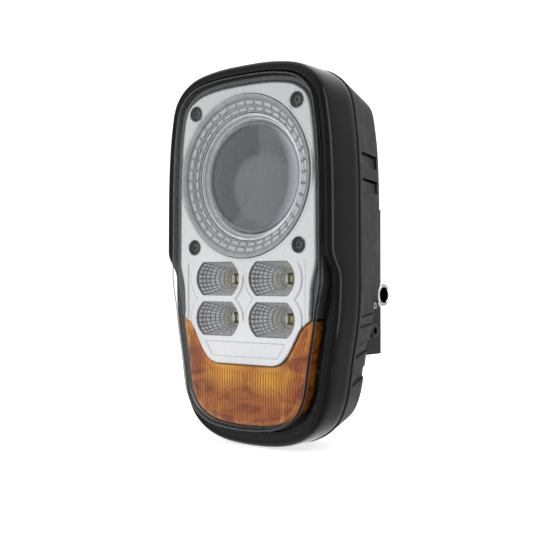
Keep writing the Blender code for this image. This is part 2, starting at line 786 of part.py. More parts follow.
def rear_housing():
    housing = housing_shell()
    cut(housing, side_slots())
    pillars = bmesh.new()
    for x, z in CARRIER_SCREWS.values():
        add_rod(pillars, (0, 1, 0), (x, 47.0, z), 4.2, 36.2, 8)
    for x, z in BOARD_SCREWS.values():
        add_rod(pillars, (0, 1, 0), (x, 60.3, z), 3.8, 9.6, 8)
    join(housing, pillars)
    wells = bmesh.new()
    for x, z in CARRIER_SCREWS.values():
        add_rod(wells, (0, 1, 0), (x, 33.0, z), 1.9, 10.6, 8)
    for x, z in BOARD_SCREWS.values():
        add_rod(wells, (0, 1, 0), (x, 58.4, z), 1.6, 7.2, 8)
    cut(housing, wells)
    fins = bmesh.new()
    for i in range(REAR_FINS):
        x = REAR_FIN_PITCH * (i - (REAR_FINS - 1) / 2)
        height = 112 - 0.006 * x * x
        add_box(fins, (x - 1.1, x + 1.1), (FLOOR_Y - 2, BACK_Y_UPPER - 1), (52, height))
    join(housing, fins)
    lugs(housing)
    holes = bmesh.new()
    for side in (-1, 1):
        add_rod(holes, (1, 0, 0), (side * 43.1, PIVOT_Y, PIVOT_Z), BUSH_R, 10, 24)
        add_rod(holes, (1, 0, 0), (side * 43.1, LOCK_Y, LOCK_Z), 3.3, 10, 16)
        add_rod(holes, (1, 0, 0), (side * 60, PIVOT_Y, PIVOT_Z), SLEEVE_R + 1.0, 16, 24)
        add_box(holes, (side * 52.5, side * 68), (77, 92), (-53, -39.5))
    add_box(holes, (-14.3, 14.3), (60, 70), (SOCKET_Z[0] - 1.3, SOCKET_Z[1] + 1.3))
    add_rod(holes, (0, 1, 0), (VENT[0], 65, VENT[1]), 4.3, 12, 16)
    cut(housing, holes)
    cut(housing, rod((1, 0, 0), (58, EARTH_Y, EARTH_Z), 1.7, 12, 8))
    cut(housing, rod((1, 0, 0), (65, EARTH_Y, EARTH_Z), 4.0, 10.4, 16))


def earth_screw():
    """Bare-metal earthing screw in the right flank, beside the sleeve."""
    head = rod((1, 0, 0), (61.6, EARTH_Y, EARTH_Z), 3.4, 3.0, 16, 2.6)
    part = place("earth_screw", finished(head, "earth_screw"), "steel")
    join(part, rod((1, 0, 0), (58.2, EARTH_Y, EARTH_Z), 1.4, 5, 10))


def terminals():
    """Centres (x, z) of the socket's blade terminals."""
    return [(TERMINAL_PITCH * (i - 1.5), z) for i in range(4) for z in TERMINAL_ROWS]


def connector():
    """Rear plug socket: a flanged shroud round a block of blade terminals, with its seal."""
    shell = box((-17, 17), (FLOOR_Y + 1.5, FLOOR_Y + 3.5), (-50, -30))
    socket = place("connector_socket", finished(shell, "connector_socket"), "satin_black")
    join(socket, box((-13, 13), (63.0, 86), SOCKET_Z))
    cut(socket, box((-11.6, 11.6), (70.5, 90), (SOCKET_Z[0] + 1.4, SOCKET_Z[1] - 1.4)))
    slots = bmesh.new()
    for x, z in terminals():
        add_box(slots, (x - 0.9, x + 0.9), (60, 72), (z - 0.6, z + 0.6))
    cut(socket, slots)
    edge = [(-17, -30), (17, -30), (17, -50), (-17, -50)]
    opening = [(-14, -33), (14, -33), (14, -47), (-14, -47)]
    plate("connector_seal", [edge, opening], 0.9, FLOOR_Y + 0.3, "rubber")
    base = box((-11, 11), (59.4, 62.7), (-45, -35))
    block = place("terminal_block", finished(base, "terminal_block"), "brass")
    pins = bmesh.new()
    for x, z in terminals():
        add_box(pins, (x - 0.6, x + 0.6), (62, 82), (z - 0.3, z + 0.3))
    join(block, pins)


def breather_vent():
    profile = [(0.0, 3.6), (4.6, 3.6), (6.4, 2.6), (6.4, 0.4), (3.9, 0.4), (3.9, -4.2), (0.0, -4.2)]
    part = turned("breather_vent", profile, "rubber", (VENT[0], FLOOR_Y, VENT[1]), steps=16,
                  closed=False)
    part.rotation_euler = (math.radians(-90), 0, 0)


# ---------------------------------------------------------------- bracket and pivot
def cheek_profile():
    """A cheek seen from the side, narrow beside the head's slots and wide at the web."""
    return [(BRACKET_BACK_Y, BRACKET_TOP_Z), (95, BRACKET_TOP_Z), (76.5, 4), (76, -44),
            (79, BRACKET_BOTTOM_Z), (BRACKET_BACK_Y, BRACKET_BOTTOM_Z)]


def arc_points(radius, centre, start, turn, count):
    """Points along an arc of (y, z), from start through turn radians."""
    angles = [start + turn * i / count for i in range(count + 1)]
    return [(centre[0] + radius * math.cos(a), centre[1] + radius * math.sin(a)) for a in angles]


def arc_slot():
    """The slot that each lock screw's shank follows, a closed outline of (y, z) about the pivot."""
    pivot = (PIVOT_Y, PIVOT_Z)
    reach = math.hypot(LOCK_Y - PIVOT_Y, LOCK_Z - PIVOT_Z)
    middle = math.atan2(LOCK_Z - PIVOT_Z, LOCK_Y - PIVOT_Y)
    half = TILT + math.radians(1)
    ends = [(PIVOT_Y + reach * math.cos(a), PIVOT_Z + reach * math.sin(a))
            for a in (middle + half, middle - half)]
    outer = arc_points(reach + LOCK_SLOT / 2, pivot, middle - half, 2 * half, 5)
    inner = arc_points(reach - LOCK_SLOT / 2, pivot, middle + half, -2 * half, 5)
    first_cap = arc_points(LOCK_SLOT / 2, ends[0], middle + half, math.pi, 4)
    last_cap = arc_points(LOCK_SLOT / 2, ends[1], middle - half + math.pi, math.pi, 4)
    return outer + first_cap[1:-1] + inner + last_cap[1:-1]


def mount_bracket():
    """Bent steel plate: a back web and two cheeks, made by hollowing one solid."""
    solid = prism_x(cheek_profile(), -CHEEK_X, CHEEK_X)
    part = place("mount_bracket", finished(solid, "mount_bracket"), "bracket_black", FIXED)
    inside = CHEEK_X - PLATE
    cut(part, box((-inside, inside), (60, BRACKET_BACK_Y - PLATE), (-90, 90)))
    holes = rod((1, 0, 0), (0, PIVOT_Y, PIVOT_Z), SLEEVE_R + 0.4, 3 * CHEEK_X, 24)
    for x in (-WEB_HOLE_X, WEB_HOLE_X):
        for z in WEB_HOLE_Z:
            add_rod(holes, (0, 1, 0), (x, BRACKET_BACK_Y, z), WEB_HOLE_R, 4 * PLATE, 12)
    add_box(holes, WINDOW_X, (BRACKET_BACK_Y - 8, BRACKET_BACK_Y + 8), WINDOW_Z)
    cut(part, holes)
    cut(part, prism_x(arc_slot(), -60, 60))


def pivot_sleeve():
    profile = [(SLEEVE_BORE_R + 0.6, SLEEVE_HALF), (SLEEVE_R - 0.6, SLEEVE_HALF),
               (SLEEVE_R, SLEEVE_HALF - 0.6), (SLEEVE_R, -SLEEVE_HALF + 0.6),
               (SLEEVE_R - 0.6, -SLEEVE_HALF), (SLEEVE_BORE_R + 0.6, -SLEEVE_HALF),
               (SLEEVE_BORE_R, -SLEEVE_HALF + 0.6), (SLEEVE_BORE_R, SLEEVE_HALF - 0.6)]
    turned("pivot_sleeve", profile, "chrome", (0, PIVOT_Y, PIVOT_Z), steps=32, parent=FIXED,
           axis="X")


def pivot_rings():
    """Retaining rings on the sleeve outside the cheeks, and the bushes inside the head's ears."""
    for side, x in (("left", -1), ("right", 1)):
        outside = x * (CHEEK_X + 0.9)
        profile = [(SLEEVE_R + 0.2, 0.5), (10.6, 0.5), (10.6, -0.5), (SLEEVE_R + 0.2, -0.5)]
        turned("sleeve_clip_" + side, profile, "steel", (outside, PIVOT_Y, PIVOT_Z), steps=24,
               parent=FIXED, axis="X")
        bush = [(SLEEVE_R + 0.2, 3.6), (BUSH_R - 0.3, 3.6), (BUSH_R - 0.3, -3.6),
                (SLEEVE_R + 0.2, -3.6)]
        turned("pivot_bush_" + side, bush, "nylon", (x * 43.1, PIVOT_Y, PIVOT_Z), steps=24,
               axis="X")


def lock_screws():
    """Tilt lock screws: a socket head and washer outside each cheek, the shank in the ear."""
    for side, x in (("left", -1), ("right", 1)):
        part = place("lock_screw_" + side,
                     finished(rod((1, 0, 0), (x * (CHEEK_X + 3.7), LOCK_Y, LOCK_Z), 5.0, 3.8, 20),
                              "lock_screw"), "black_steel")
        join(part, rod((1, 0, 0), (x * 46.2, LOCK_Y, LOCK_Z), 2.9, 13, 16))
        cut(part, rod((1, 0, 0), (x * (CHEEK_X + 5.6), LOCK_Y, LOCK_Z), 2.6, 4.4, 6))
        washer = [(3.2, 0.6), (6.6, 0.6), (6.6, -0.6), (3.2, -0.6)]
        turned("lock_washer_" + side, washer, "black_steel",
               (x * (CHEEK_X + 0.9), LOCK_Y, LOCK_Z), steps=20, axis="X")


def build():
    outer_lens()
    front_frame()
    lens_gasket()
    border_frame()
    silver_trim()
    trim_screws()
    ring_guide()
    ring_board()
    projector_glass()
    projector_collar()
    projector_holder()
    projector_bowl()
    cutoff_shield()
    low_beam_board()
    low_beam_heatsink()
    reflector_cups()
    high_beam_board()
    high_beam_heatsink()
    amber_optic()
    indicator_board()
    carrier_frame()
    carrier_screws()
    driver_board()
    board_screws()
    wires()
    rear_housing()
    earth_screw()
    connector()
    breather_vent()
    mount_bracket()
    pivot_sleeve()
    pivot_rings()
    lock_screws()


build()
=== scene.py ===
"""Looks of the combination headlight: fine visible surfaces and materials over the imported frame.

Shapes are drawn in lamp millimetres (y = 0 at the front of the light ring, growing to the back,
z = 0 below the ring), and ORIGIN, measured from the frame, moves them into the row frame.
"""

import json
import math

import bmesh
import bpy
import numpy as np
from mathutils import Matrix, Vector

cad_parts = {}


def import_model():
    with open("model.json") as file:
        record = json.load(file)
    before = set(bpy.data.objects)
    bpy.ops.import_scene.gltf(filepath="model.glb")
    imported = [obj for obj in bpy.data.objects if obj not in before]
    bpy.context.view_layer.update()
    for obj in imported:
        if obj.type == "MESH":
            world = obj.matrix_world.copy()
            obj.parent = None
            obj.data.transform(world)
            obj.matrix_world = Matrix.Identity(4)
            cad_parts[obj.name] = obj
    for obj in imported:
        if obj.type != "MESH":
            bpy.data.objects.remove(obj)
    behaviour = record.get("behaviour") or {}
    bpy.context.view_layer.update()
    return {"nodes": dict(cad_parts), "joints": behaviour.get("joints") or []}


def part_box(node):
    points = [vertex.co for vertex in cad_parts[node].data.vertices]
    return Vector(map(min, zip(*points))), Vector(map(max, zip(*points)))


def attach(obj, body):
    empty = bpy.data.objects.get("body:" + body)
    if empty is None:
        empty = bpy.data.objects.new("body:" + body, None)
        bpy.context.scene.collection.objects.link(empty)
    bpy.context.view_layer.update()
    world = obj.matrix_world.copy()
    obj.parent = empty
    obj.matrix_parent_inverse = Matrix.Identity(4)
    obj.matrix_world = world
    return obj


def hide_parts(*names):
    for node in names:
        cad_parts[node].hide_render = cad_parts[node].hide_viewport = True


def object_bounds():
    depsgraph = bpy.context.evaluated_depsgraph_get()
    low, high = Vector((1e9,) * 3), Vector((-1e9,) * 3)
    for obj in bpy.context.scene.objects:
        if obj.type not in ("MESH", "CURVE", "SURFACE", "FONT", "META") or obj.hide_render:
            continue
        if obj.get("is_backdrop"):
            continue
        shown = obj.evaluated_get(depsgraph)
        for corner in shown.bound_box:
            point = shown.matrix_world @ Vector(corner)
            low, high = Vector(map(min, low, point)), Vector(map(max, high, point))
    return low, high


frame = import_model()
NODES = frame["nodes"]
MM = 0.001

# Lamp datum, read off the frame
TRIM_Y = 2.4
PROJECTOR_Z = 63.0
GLASS_LOW, GLASS_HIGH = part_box("projector_glass")
ORIGIN = Vector((0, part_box("silver_trim")[0].y / MM - TRIM_Y,
                 (GLASS_LOW.z + GLASS_HIGH.z) / 2 / MM - PROJECTOR_Z))
PIVOT = Vector(frame["joints"][0]["pos_m"]) / MM - ORIGIN

# Outline of the head at its widest (x, z), shared with the frame
HALF_OUTLINE = [
    (0, 141.2), (28, 140.0), (50, 134.6), (64.6, 121), (70, 99), (72.6, 66), (73.2, 20),
    (72.8, -28), (67.1, -65), (61.9, -94), (51.5, -112), (31, -122.8), (0, -125.8),
]
OUTLINE_CENTRE_Z = 10.0
OUTLINE_POINTS = 240
RIDGE_Y = 37.0
NECK_Y = 23.4
FLOOR_Y = 67.5
CAVITY_Y = 64.0
BACK_Y_UPPER = 85.0
BACK_Y_LOWER = 68.6
TAPER = 0.275

RING_R = 57.0
GLASS_R = 39.4
CUP_CENTRES = {
    "upper_left": (-24.2, -8.4), "upper_right": (24.2, -8.4),
    "lower_left": (-24.2, -36.6), "lower_right": (24.2, -36.6),
}
CUP_WIDE = 39.6
CUP_HIGH = 23.8
FLUTE_PITCH = 2.3
SCREW_CENTRES = {
    "upper_left": (-45.2, 111.1), "upper_right": (45.2, 111.1),
    "lower_left": (-46.5, 14.1), "lower_right": (46.5, 14.1),
}
TONGUE = [(56.4, -36.4), (52.2, -38.6), (48, -42.2), (38.4, -59.2), (32.5, -65.6), (26, -68.0)]
AMBER_EDGE = [(56.6, -36.9), (52.4, -39.1), (48.3, -42.7), (38.7, -59.8), (32.7, -66.2),
              (26, -68.6)]
UPPER_SLOTS = ((78, 0), (60, 0))
LOWER_SLOTS = ((-33, 4), (-52, 8), (-70, 11))
VENT = (26.0, -58.0)
SOCKET_Z = (-46.0, -34.0)
CHEEK_X = 50.0
PLATE = 3.0
SLEEVE_R = 8.35
SLEEVE_BORE_R = 5.65
SLEEVE_HALF = 62.0
LUG_X = (40.0, 46.3)
LOCK = (86.0, -46.2)
LOCK_SLOT = 7.0
LOCK_SWEEP = math.radians(11)
EARTH = (73.4, -27.6)
COVER_DOME = 6.4
PLATE_GRID = 0.55
PRISM_COUNT = 40
FUNNEL_RUN, FUNNEL_RISE = 6.8, 4.4
SIDE_FLUTE_PITCH = 1.5
FLOOR_REACH, FLOOR_CURVE = 1500, 900
SIDES = (("left", -1), ("right", 1))
X_AXIS = (1, 0, 0)
Y_AXIS = (0, 1, 0)


# ---------------------------------------------------------------- outline
def ramp(value, low, high):
    """0 at low, 1 at high and smooth between; value may be an array."""
    t = np.clip((value - low) / (high - low), 0.0, 1.0)
    return t * t * (3 - 2 * t)


def spline_point(points, index, t):
    a, b, c, d = (Vector(points[(index + k) % len(points)]) for k in (-1, 0, 1, 2))
    return 0.5 * (2 * b + (c - a) * t + (2 * a - 5 * b + 4 * c - d) * t ** 2
                  + (3 * b - a - 3 * c + d) * t ** 3)


def even_loop(control, count, steps=24):
    """Points at even spacing round a smooth closed curve, each with its outward normal."""
    dense = [spline_point(control, i, s / steps) for i in range(len(control)) for s in range(steps)]
    travel = [0.0]
    for a, b in zip(dense, dense[1:] + dense[:1]):
        travel.append(travel[-1] + (b - a).length)
    points = []
    k = 0
    for i in range(count):
        wanted = travel[-1] * i / count
        while travel[k + 1] <= wanted:
            k += 1
        a, b = dense[k], dense[(k + 1) % len(dense)]
        point = a.lerp(b, (wanted - travel[k]) / (travel[k + 1] - travel[k]))
        tangent = (dense[(k + 2) % len(dense)] - dense[k - 1]).normalized()
        points.append((point, Vector((-tangent.y, tangent.x))))
    return points


def mirrored(half):
    return half + [(-x, z) for x, z in reversed(half[1:-1])]


OUTLINE = even_loop(mirrored(HALF_OUTLINE), OUTLINE_POINTS)


def value_at(value, z):
    return value(z) if callable(value) else value


def ring(inset, depth, shrink=1.0):
    """The outline moved in by inset and set at a depth; both may depend on the height z."""
    points = []
    for point, normal in OUTLINE:
        at = point - normal * value_at(inset, point.y)
        z = OUTLINE_CENTRE_Z + (at.y - OUTLINE_CENTRE_Z) * shrink
        points.append(Vector((at.x * shrink, value_at(depth, point.y), z)))
    return points


def flat_ring(inset):
    return [(point.x, point.z) for point in ring(inset, 0)]


def lens_inset(z):
    """How far the clear cover's wall stands inside the outline."""
    lower = 3.2 * ramp(-z, 6, 34) + 1.8 * ramp(-z, 85, 118)
    return 7.0 + lower + 0.7 * ramp(z, 104, 136)


def front_y(z):
    """The front frame's leading edge, set back on the lower half."""
    return 1.0 + 9.2 * ramp(-z, -11, 8)


def back_y(z):
    return BACK_Y_LOWER + (BACK_Y_UPPER - BACK_Y_LOWER) * ramp(z, -62, -17)


def taper_inset(y):
    return 0.2 + (y - RIDGE_Y - 2.5) * TAPER


def raised(base):
    """Turns base(z) into a family: raised(base)(more)(z) is base(z) + more."""
    return lambda more: lambda z: base(z) + more


def trim_inset(z):
    return 11.9 + 2.0 * ramp(z, 104, 136) + 4.3 * ramp(-z, -6, 18)


def amber_inset(z):
    return lens_inset(z) + 3.9


# ---------------------------------------------------------------- mesh tools
def loft(rings, closed=False):
    """A closed surface through rings with equal counts; open chains get flat end caps."""
    bm = bmesh.new()
    loops = [[bm.verts.new(point) for point in points] for points in rings]
    pairs = list(zip(loops, loops[1:]))
    if closed:
        pairs.append((loops[-1], loops[0]))
    count = len(loops[0])
    for first, second in pairs:
        for i in range(count):
            j = (i + 1) % count
            bm.faces.new((first[i], first[j], second[j], second[i]))
    if not closed:
        bm.faces.new(loops[0])
        bm.faces.new(loops[-1])
    return bm


def prism_y(points, low, high):
    return loft([[(x, y, z) for x, z in points] for y in (low, high)])


def prism_x(points, low, high):
    return loft([[(x, y, z) for y, z in points] for x in (low, high)])


def turns(count):
    """Angles at even spacing round a full turn."""
    return [2 * math.pi * i / count for i in range(count)]


def circle(centre, radius, count=64):
    return [(centre[0] + radius * math.cos(t), centre[1] + radius * math.sin(t)) for t in turns(count)]


def rounded(points, radius, steps=5):
    """A polygon with each corner cut back to an arc-like curve."""
    out = []
    for i, here in enumerate(points):
        here = Vector(here)
        before, after = Vector(points[i - 1]), Vector(points[(i + 1) % len(points)])
        reach = min(radius, (before - here).length / 2.01, (after - here).length / 2.01)
        start = here + (before - here).normalized() * reach
        end = here + (after - here).normalized() * reach
        for k in range(steps + 1):
            t = k / steps
            point = (1 - t) ** 2 * start + 2 * t * (1 - t) * here + t * t * end
            out.append((point.x, point.y))
    return out


def softened(points, radius, steps=6):
    """An open run of points with its inner corners cut back to arc-like curves."""
    return [points[0]] + rounded(points, radius, steps)[steps + 1:-steps - 1] + [points[-1]]


def lathe(profile, centre, steps=96, axis="Y", arc=1.0):
    """A closed (radius, along) profile spun about an axis through a centre."""
    count = len(profile)
    sections = steps if arc == 1.0 else steps + 1
    bm = bmesh.new()
    loops = []
    for i in range(sections):
        angle = 2 * math.pi * arc * i / steps
        c, s = math.cos(angle), math.sin(angle)
        loop = []
        for radius, along in profile:
            local = (radius * c, along, radius * s) if axis == "Y" else (along, radius * c, radius * s)
            loop.append(bm.verts.new(Vector(centre) + Vector(local)))
        loops.append(loop)
    for i in range(steps):
        first, second = loops[i], loops[(i + 1) % sections]
        for k in range(count):
            j = (k + 1) % count
            bm.faces.new((first[k], first[j], second[j], second[k]))
    if arc != 1.0:
        bm.faces.new(loops[0])
        bm.faces.new(loops[-1])
    bmesh.ops.remove_doubles(bm, verts=bm.verts, dist=1e-5)
    bmesh.ops.dissolve_degenerate(bm, dist=1e-5, edges=bm.edges)
    return bm


def block(x, y, z, turn=None, edge=0.0):
    """A box between two values on each axis, with rounded edges, turned about its centre."""
    bm = bmesh.new()
    size = (abs(x[1] - x[0]), abs(y[1] - y[0]), abs(z[1] - z[0]))
    bmesh.ops.create_cube(bm, size=1, matrix=Matrix.Diagonal((*size, 1)))
    if edge:
        bmesh.ops.bevel(bm, geom=bm.edges[:], offset=edge, segments=2, profile=0.5, affect="EDGES")
    centre = Vector(((x[0] + x[1]) / 2, (y[0] + y[1]) / 2, (z[0] + z[1]) / 2))
    bmesh.ops.transform(bm, matrix=Matrix.Translation(centre) @ (turn or Matrix()), verts=bm.verts)
    return bm


def rod(axis, centre, radius, length, segments=48):
    bm = bmesh.new()
    turn = Vector((0, 0, 1)).rotation_difference(Vector(axis)).to_matrix().to_4x4()
    bmesh.ops.create_cone(bm, cap_ends=True, segments=segments, radius1=radius, radius2=radius,
                          depth=length, matrix=Matrix.Translation(Vector(centre)) @ turn)
    return bm


def bead(path, radius, sides):
    """A round bead along a closed path that lies across the depth axis."""
    path = [Vector(p) for p in path]
    rings = []
    for i, point in enumerate(path):
        way = path[(i + 1) % len(path)] - path[i - 1]
        across = way.cross(Vector(Y_AXIS)).normalized()
        normal = across.cross(way).normalized()
        rings.append([point + radius * (math.cos(t) * across + math.sin(t) * normal)
                      for t in turns(sides)])
    return loft(rings, closed=True)


def merged(parts):
    """Several bmeshes as one, without joining their surfaces."""
    whole = bmesh.new()
    for bm in parts:
        mesh = bpy.data.meshes.new("part")
        bm.to_mesh(mesh)
        bm.free()
        whole.from_mesh(mesh)
        bpy.data.meshes.remove(mesh)
    return whole


def marked(bm, values):
    """The bmesh with one value at each vertex, which its material reads as "mark"."""
    mark = bm.verts.layers.float.new("mark")
    for vert, value in zip(bm.verts, values):
        vert[mark] = value
    return bm


def temporary(bm):
    bmesh.ops.recalc_face_normals(bm, faces=bm.faces)
    mesh = bpy.data.meshes.new("temporary")
    bm.to_mesh(mesh)
    bm.free()
    obj = bpy.data.objects.new("temporary", mesh)
    bpy.context.scene.collection.objects.link(obj)
    return obj


def carved(bm, steps):
    """The bmesh after each (operation, tool) Boolean in turn."""
    target = temporary(bm)
    tools = [temporary(tool) for operation, tool in steps]
    for (operation, _), tool in zip(steps, tools):
        boolean = target.modifiers.new("step", "BOOLEAN")
        boolean.solver = "MANIFOLD"
        boolean.operation = operation
        boolean.object = tool
    graph = bpy.context.evaluated_depsgraph_get()
    mesh = bpy.data.meshes.new_from_object(target.evaluated_get(graph))
    result = bmesh.new()
    result.from_mesh(mesh)
    bmesh.ops.remove_doubles(result, verts=result.verts, dist=1e-4)
    for obj in [target] + tools:
        data = obj.data
        bpy.data.objects.remove(obj)
        bpy.data.meshes.remove(data)
    bpy.data.meshes.remove(mesh)
    return result


CUT = "DIFFERENCE"
JOIN = "UNION"
KEEP = "INTERSECT"


def inside_distance(points, loop):
    """Distance from each (x, z) to a closed outline, positive inside it."""
    x, z = points[:, 0], points[:, 1]
    nearest = np.full(len(points), 1e9)
    crossings = np.zeros(len(points), int)
    for (ax, az), (bx, bz) in zip(loop, loop[1:] + loop[:1]):
        dx, dz = bx - ax, bz - az
        along = dx * dx + dz * dz
        if along < 1e-12:
            continue
        t = np.clip(((x - ax) * dx + (z - az) * dz) / along, 0, 1)
        nearest = np.minimum(nearest, np.hypot(x - ax - t * dx, z - az - t * dz))
        if az != bz:
            level = (az > z) != (bz > z)
            crossings += level & (x < ax + (z - az) * dx / dz)
    return np.where(crossings % 2 == 1, nearest, -nearest)


def relief(xs, zs, front, back):
    """A slab over a grid, its front face at y = front(points) and its back flat."""
    grid = np.array([(x, z) for z in zs for x in xs])
    heights = front(grid)
    wide, high = len(xs), len(zs)
    bm = bmesh.new()
    faces = [bm.verts.new((x, y, z)) for (x, z), y in zip(grid, heights)]
    rear = [bm.verts.new((x, back, z)) for x, z in grid]

    def at(verts, i, k):
        return verts[k * wide + i]

    for k in range(high - 1):
        for i in range(wide - 1):
            for verts in (faces, rear):
                bm.faces.new((at(verts, i, k), at(verts, i + 1, k), at(verts, i + 1, k + 1),
                              at(verts, i, k + 1)))
    border = [(i, 0) for i in range(wide - 1)] + [(wide - 1, k) for k in range(high - 1)]
    border += [(i, high - 1) for i in range(wide - 1, 0, -1)] + [(0, k) for k in range(high - 1, 0, -1)]
    for (i, k), (m, n) in zip(border, border[1:] + border[:1]):
        bm.faces.new((at(faces, i, k), at(faces, m, n), at(rear, m, n), at(rear, i, k)))
    return bm


# ---------------------------------------------------------------- materials
class Look:
    """A node material: its shader and the nodes that feed it."""

    def __init__(self, name):
        self.material = bpy.data.materials.new(name)
        self.material.use_nodes = True
        self.tree = self.material.node_tree
        self.shader = self.tree.nodes["Principled BSDF"]
        self.out = self.tree.nodes["Material Output"]
        self.place = self.add("TexCoord").outputs["Object"]

    def add(self, kind, options=None, **inputs):
        node = self.tree.nodes.new("ShaderNode" + kind)
        for key, value in (options or {}).items():
            setattr(node, key, value)
        for key, value in inputs.items():
            self.feed(node.inputs[key.replace("_", " ")], value)
        return node

    def feed(self, socket, value):
        if isinstance(value, bpy.types.NodeSocket):
            self.tree.links.new(value, socket)
        else:
            socket.default_value = value

    def set(self, **inputs):
        for key, value in inputs.items():
            self.feed(self.shader.inputs[key.replace("_", " ")], value)

    def mark(self):
        """The value that marked() left at each vertex."""
        return self.add("Attribute", {"attribute_name": "mark"}).outputs["Fac"]

    def distance(self, centre, scale):
        """Distance from a point, with each axis scaled."""
        value = self.place
        for operation, by in (("SUBTRACT", centre), ("MULTIPLY", scale), ("LENGTH", None)):
            node = self.add("VectorMath", {"operation": operation})
            self.feed(node.inputs[0], value)
            if by:
                node.inputs[1].default_value = by
            value = node.outputs["Value" if by is None else "Vector"]
        return value

    def noise(self, scale, detail=3.0, stretch=None, distortion=0.0):
        where = self.place
        if stretch:
            where = self.add("Mapping", Vector=where, Scale=stretch).outputs[0]
        return self.add("TexNoise", Vector=where, Scale=scale, Detail=detail,
                        Distortion=distortion).outputs["Fac"]

    def spread(self, value, low, high, to_low, to_high):
        return self.add("MapRange", Value=value, From_Min=low, From_Max=high, To_Min=to_low,
                        To_Max=to_high).outputs[0]

    def sum(self, operation, a, b=0.5):
        node = self.add("Math", {"operation": operation})
        self.feed(node.inputs[0], a)
        self.feed(node.inputs[1], b)
        return node.outputs[0]

    def mix(self, factor, a, b):
        node = self.add("Mix", {"data_type": "RGBA"})
        for socket, value in ((node.inputs[0], factor), (node.inputs[6], a), (node.inputs[7], b)):
            self.feed(socket, value)
        return node.outputs[2]

    def bump(self, height, strength, distance, under=None):
        node = self.add("Bump", Height=height, Strength=strength, Distance=distance)
        if under:
            self.feed(node.inputs["Normal"], under)
        return node.outputs[0]


def facet_look():
    """Metallised facets: pale pads, with painted shade darkening the creases between them."""
    look = Look("reflector")
    pad = look.mark()
    cloud = look.spread(look.noise(200, 3.0), 0.3, 0.7, 0.0, 1.0)
    face = look.mix(cloud, (0.74, 0.745, 0.75, 1), (0.90, 0.905, 0.91, 1))
    # Painted shade in the creases between the pads.
    colour = look.mix(look.spread(pad, 0.15, 0.95, 0.0, 1.0), (0.24, 0.245, 0.25, 1), face)
    look.set(Base_Color=colour, Roughness=look.spread(look.noise(400), 0.3, 0.7, 0.20, 0.34),
             Metallic=0.25, Coat_Weight=0.3, Normal=look.bump(look.noise(1300), 0.04, 0.0003))
    return look.material


def rgba(colour, gain=1.0):
    return (*(min(c * gain, 1.0) for c in colour), 1.0)


def surface(name, colour, roughness, metallic=0.0, vary=0.12, patch=45, rough_vary=0.06,
            grain=(1500, 0.05), streak=None, coat=0.0, wear=0.0, specular=0.5, shaded_bore=False):
    """A finish with cloudy colour, uneven roughness, fine relief, streaks and worn edges, and, where asked,
    painted shade in a marked bore.
    """
    look = Look(name)
    cloud = look.noise(patch, 4.0)
    shade = look.mix(look.spread(cloud, 0.3, 0.7, 0.0, 1.0), rgba(colour, 1 - vary),
                     rgba(colour, 1 + vary))
    rough = look.spread(look.noise(patch * 3.1, 5.0), 0.3, 0.7, roughness - rough_vary,
                        roughness + rough_vary)
    if wear:
        worn = look.spread(look.add("NewGeometry").outputs["Pointiness"], 0.52, 0.60, 0.0, wear)
        shade = look.mix(worn, shade, rgba([c + 0.10 for c in colour], 1.2))
    if shaded_bore:
        # Painted shade: the marked bore is made near black.
        depth = look.mark()
        shade = look.mix(depth, shade, (0.012, 0.012, 0.013, 1))
    relief_size, relief_depth = grain
    normal = look.bump(look.noise(relief_size, 4.0), relief_depth, 0.0004)
    if streak:
        lines = look.noise(1.0, 5.0, stretch=streak[0])
        normal = look.bump(lines, streak[1], 0.0003, normal)
        rough = look.sum("ADD", rough, look.spread(lines, 0.3, 0.7, -streak[1] / 3, streak[1] / 3))
    look.set(Base_Color=shade, Roughness=rough, Metallic=metallic, Normal=normal,
             Coat_Weight=coat, Coat_Roughness=0.04, Specular_IOR_Level=specular)
    return look.material


def clear_look(name, tint_and_corner_shade, gloss, edge=0.55, dust=0.006):
    """Thin clear plastic: passes light, reflects more and greys towards a grazing view; a faint pale dust
    layer, and painted dark shade on the marked front corner.
    """
    look = Look(name)
    slant = look.add("LayerWeight", Blend=0.5).outputs["Facing"]
    grazing = look.sum("POWER", slant, 4.0)
    through = look.add("BsdfTransparent", Color=look.mix(grazing, rgba(tint_and_corner_shade), rgba(tint_and_corner_shade, 1 - edge)))
    smear = look.spread(look.noise(60, 4.0), 0.35, 0.75, 0.02, 0.09)
    glossy = look.add("BsdfGlossy", Color=(0.95, 0.96, 0.97, 1), Roughness=smear)
    # Painted shade: the marked corner is made near black.
    corner = look.mark()
    dust_and_shade_colour = look.mix(corner, (0.82, 0.83, 0.84, 1), (0.012, 0.012, 0.013, 1))
    dust_and_shade_film = look.add("BsdfDiffuse", Color=dust_and_shade_colour)
    dust_and_corner_shade = look.sum("MAXIMUM", look.spread(look.noise(900, 5.0), 0.45, 0.8, 0.0, dust),
                    look.sum("MULTIPLY", corner, 0.85))
    body = look.add("MixShader", Fac=dust_and_corner_shade)
    shine = look.add("MixShader", Fac=look.sum("ADD", look.sum("MULTIPLY", grazing, 0.5), gloss))
    links = look.tree.links
    links.new(through.outputs[0], body.inputs[1])
    links.new(dust_and_shade_film.outputs[0], body.inputs[2])
    links.new(body.outputs[0], shine.inputs[1])
    links.new(glossy.outputs[0], shine.inputs[2])
    links.new(shine.outputs[0], look.out.inputs["Surface"])
    return look.material


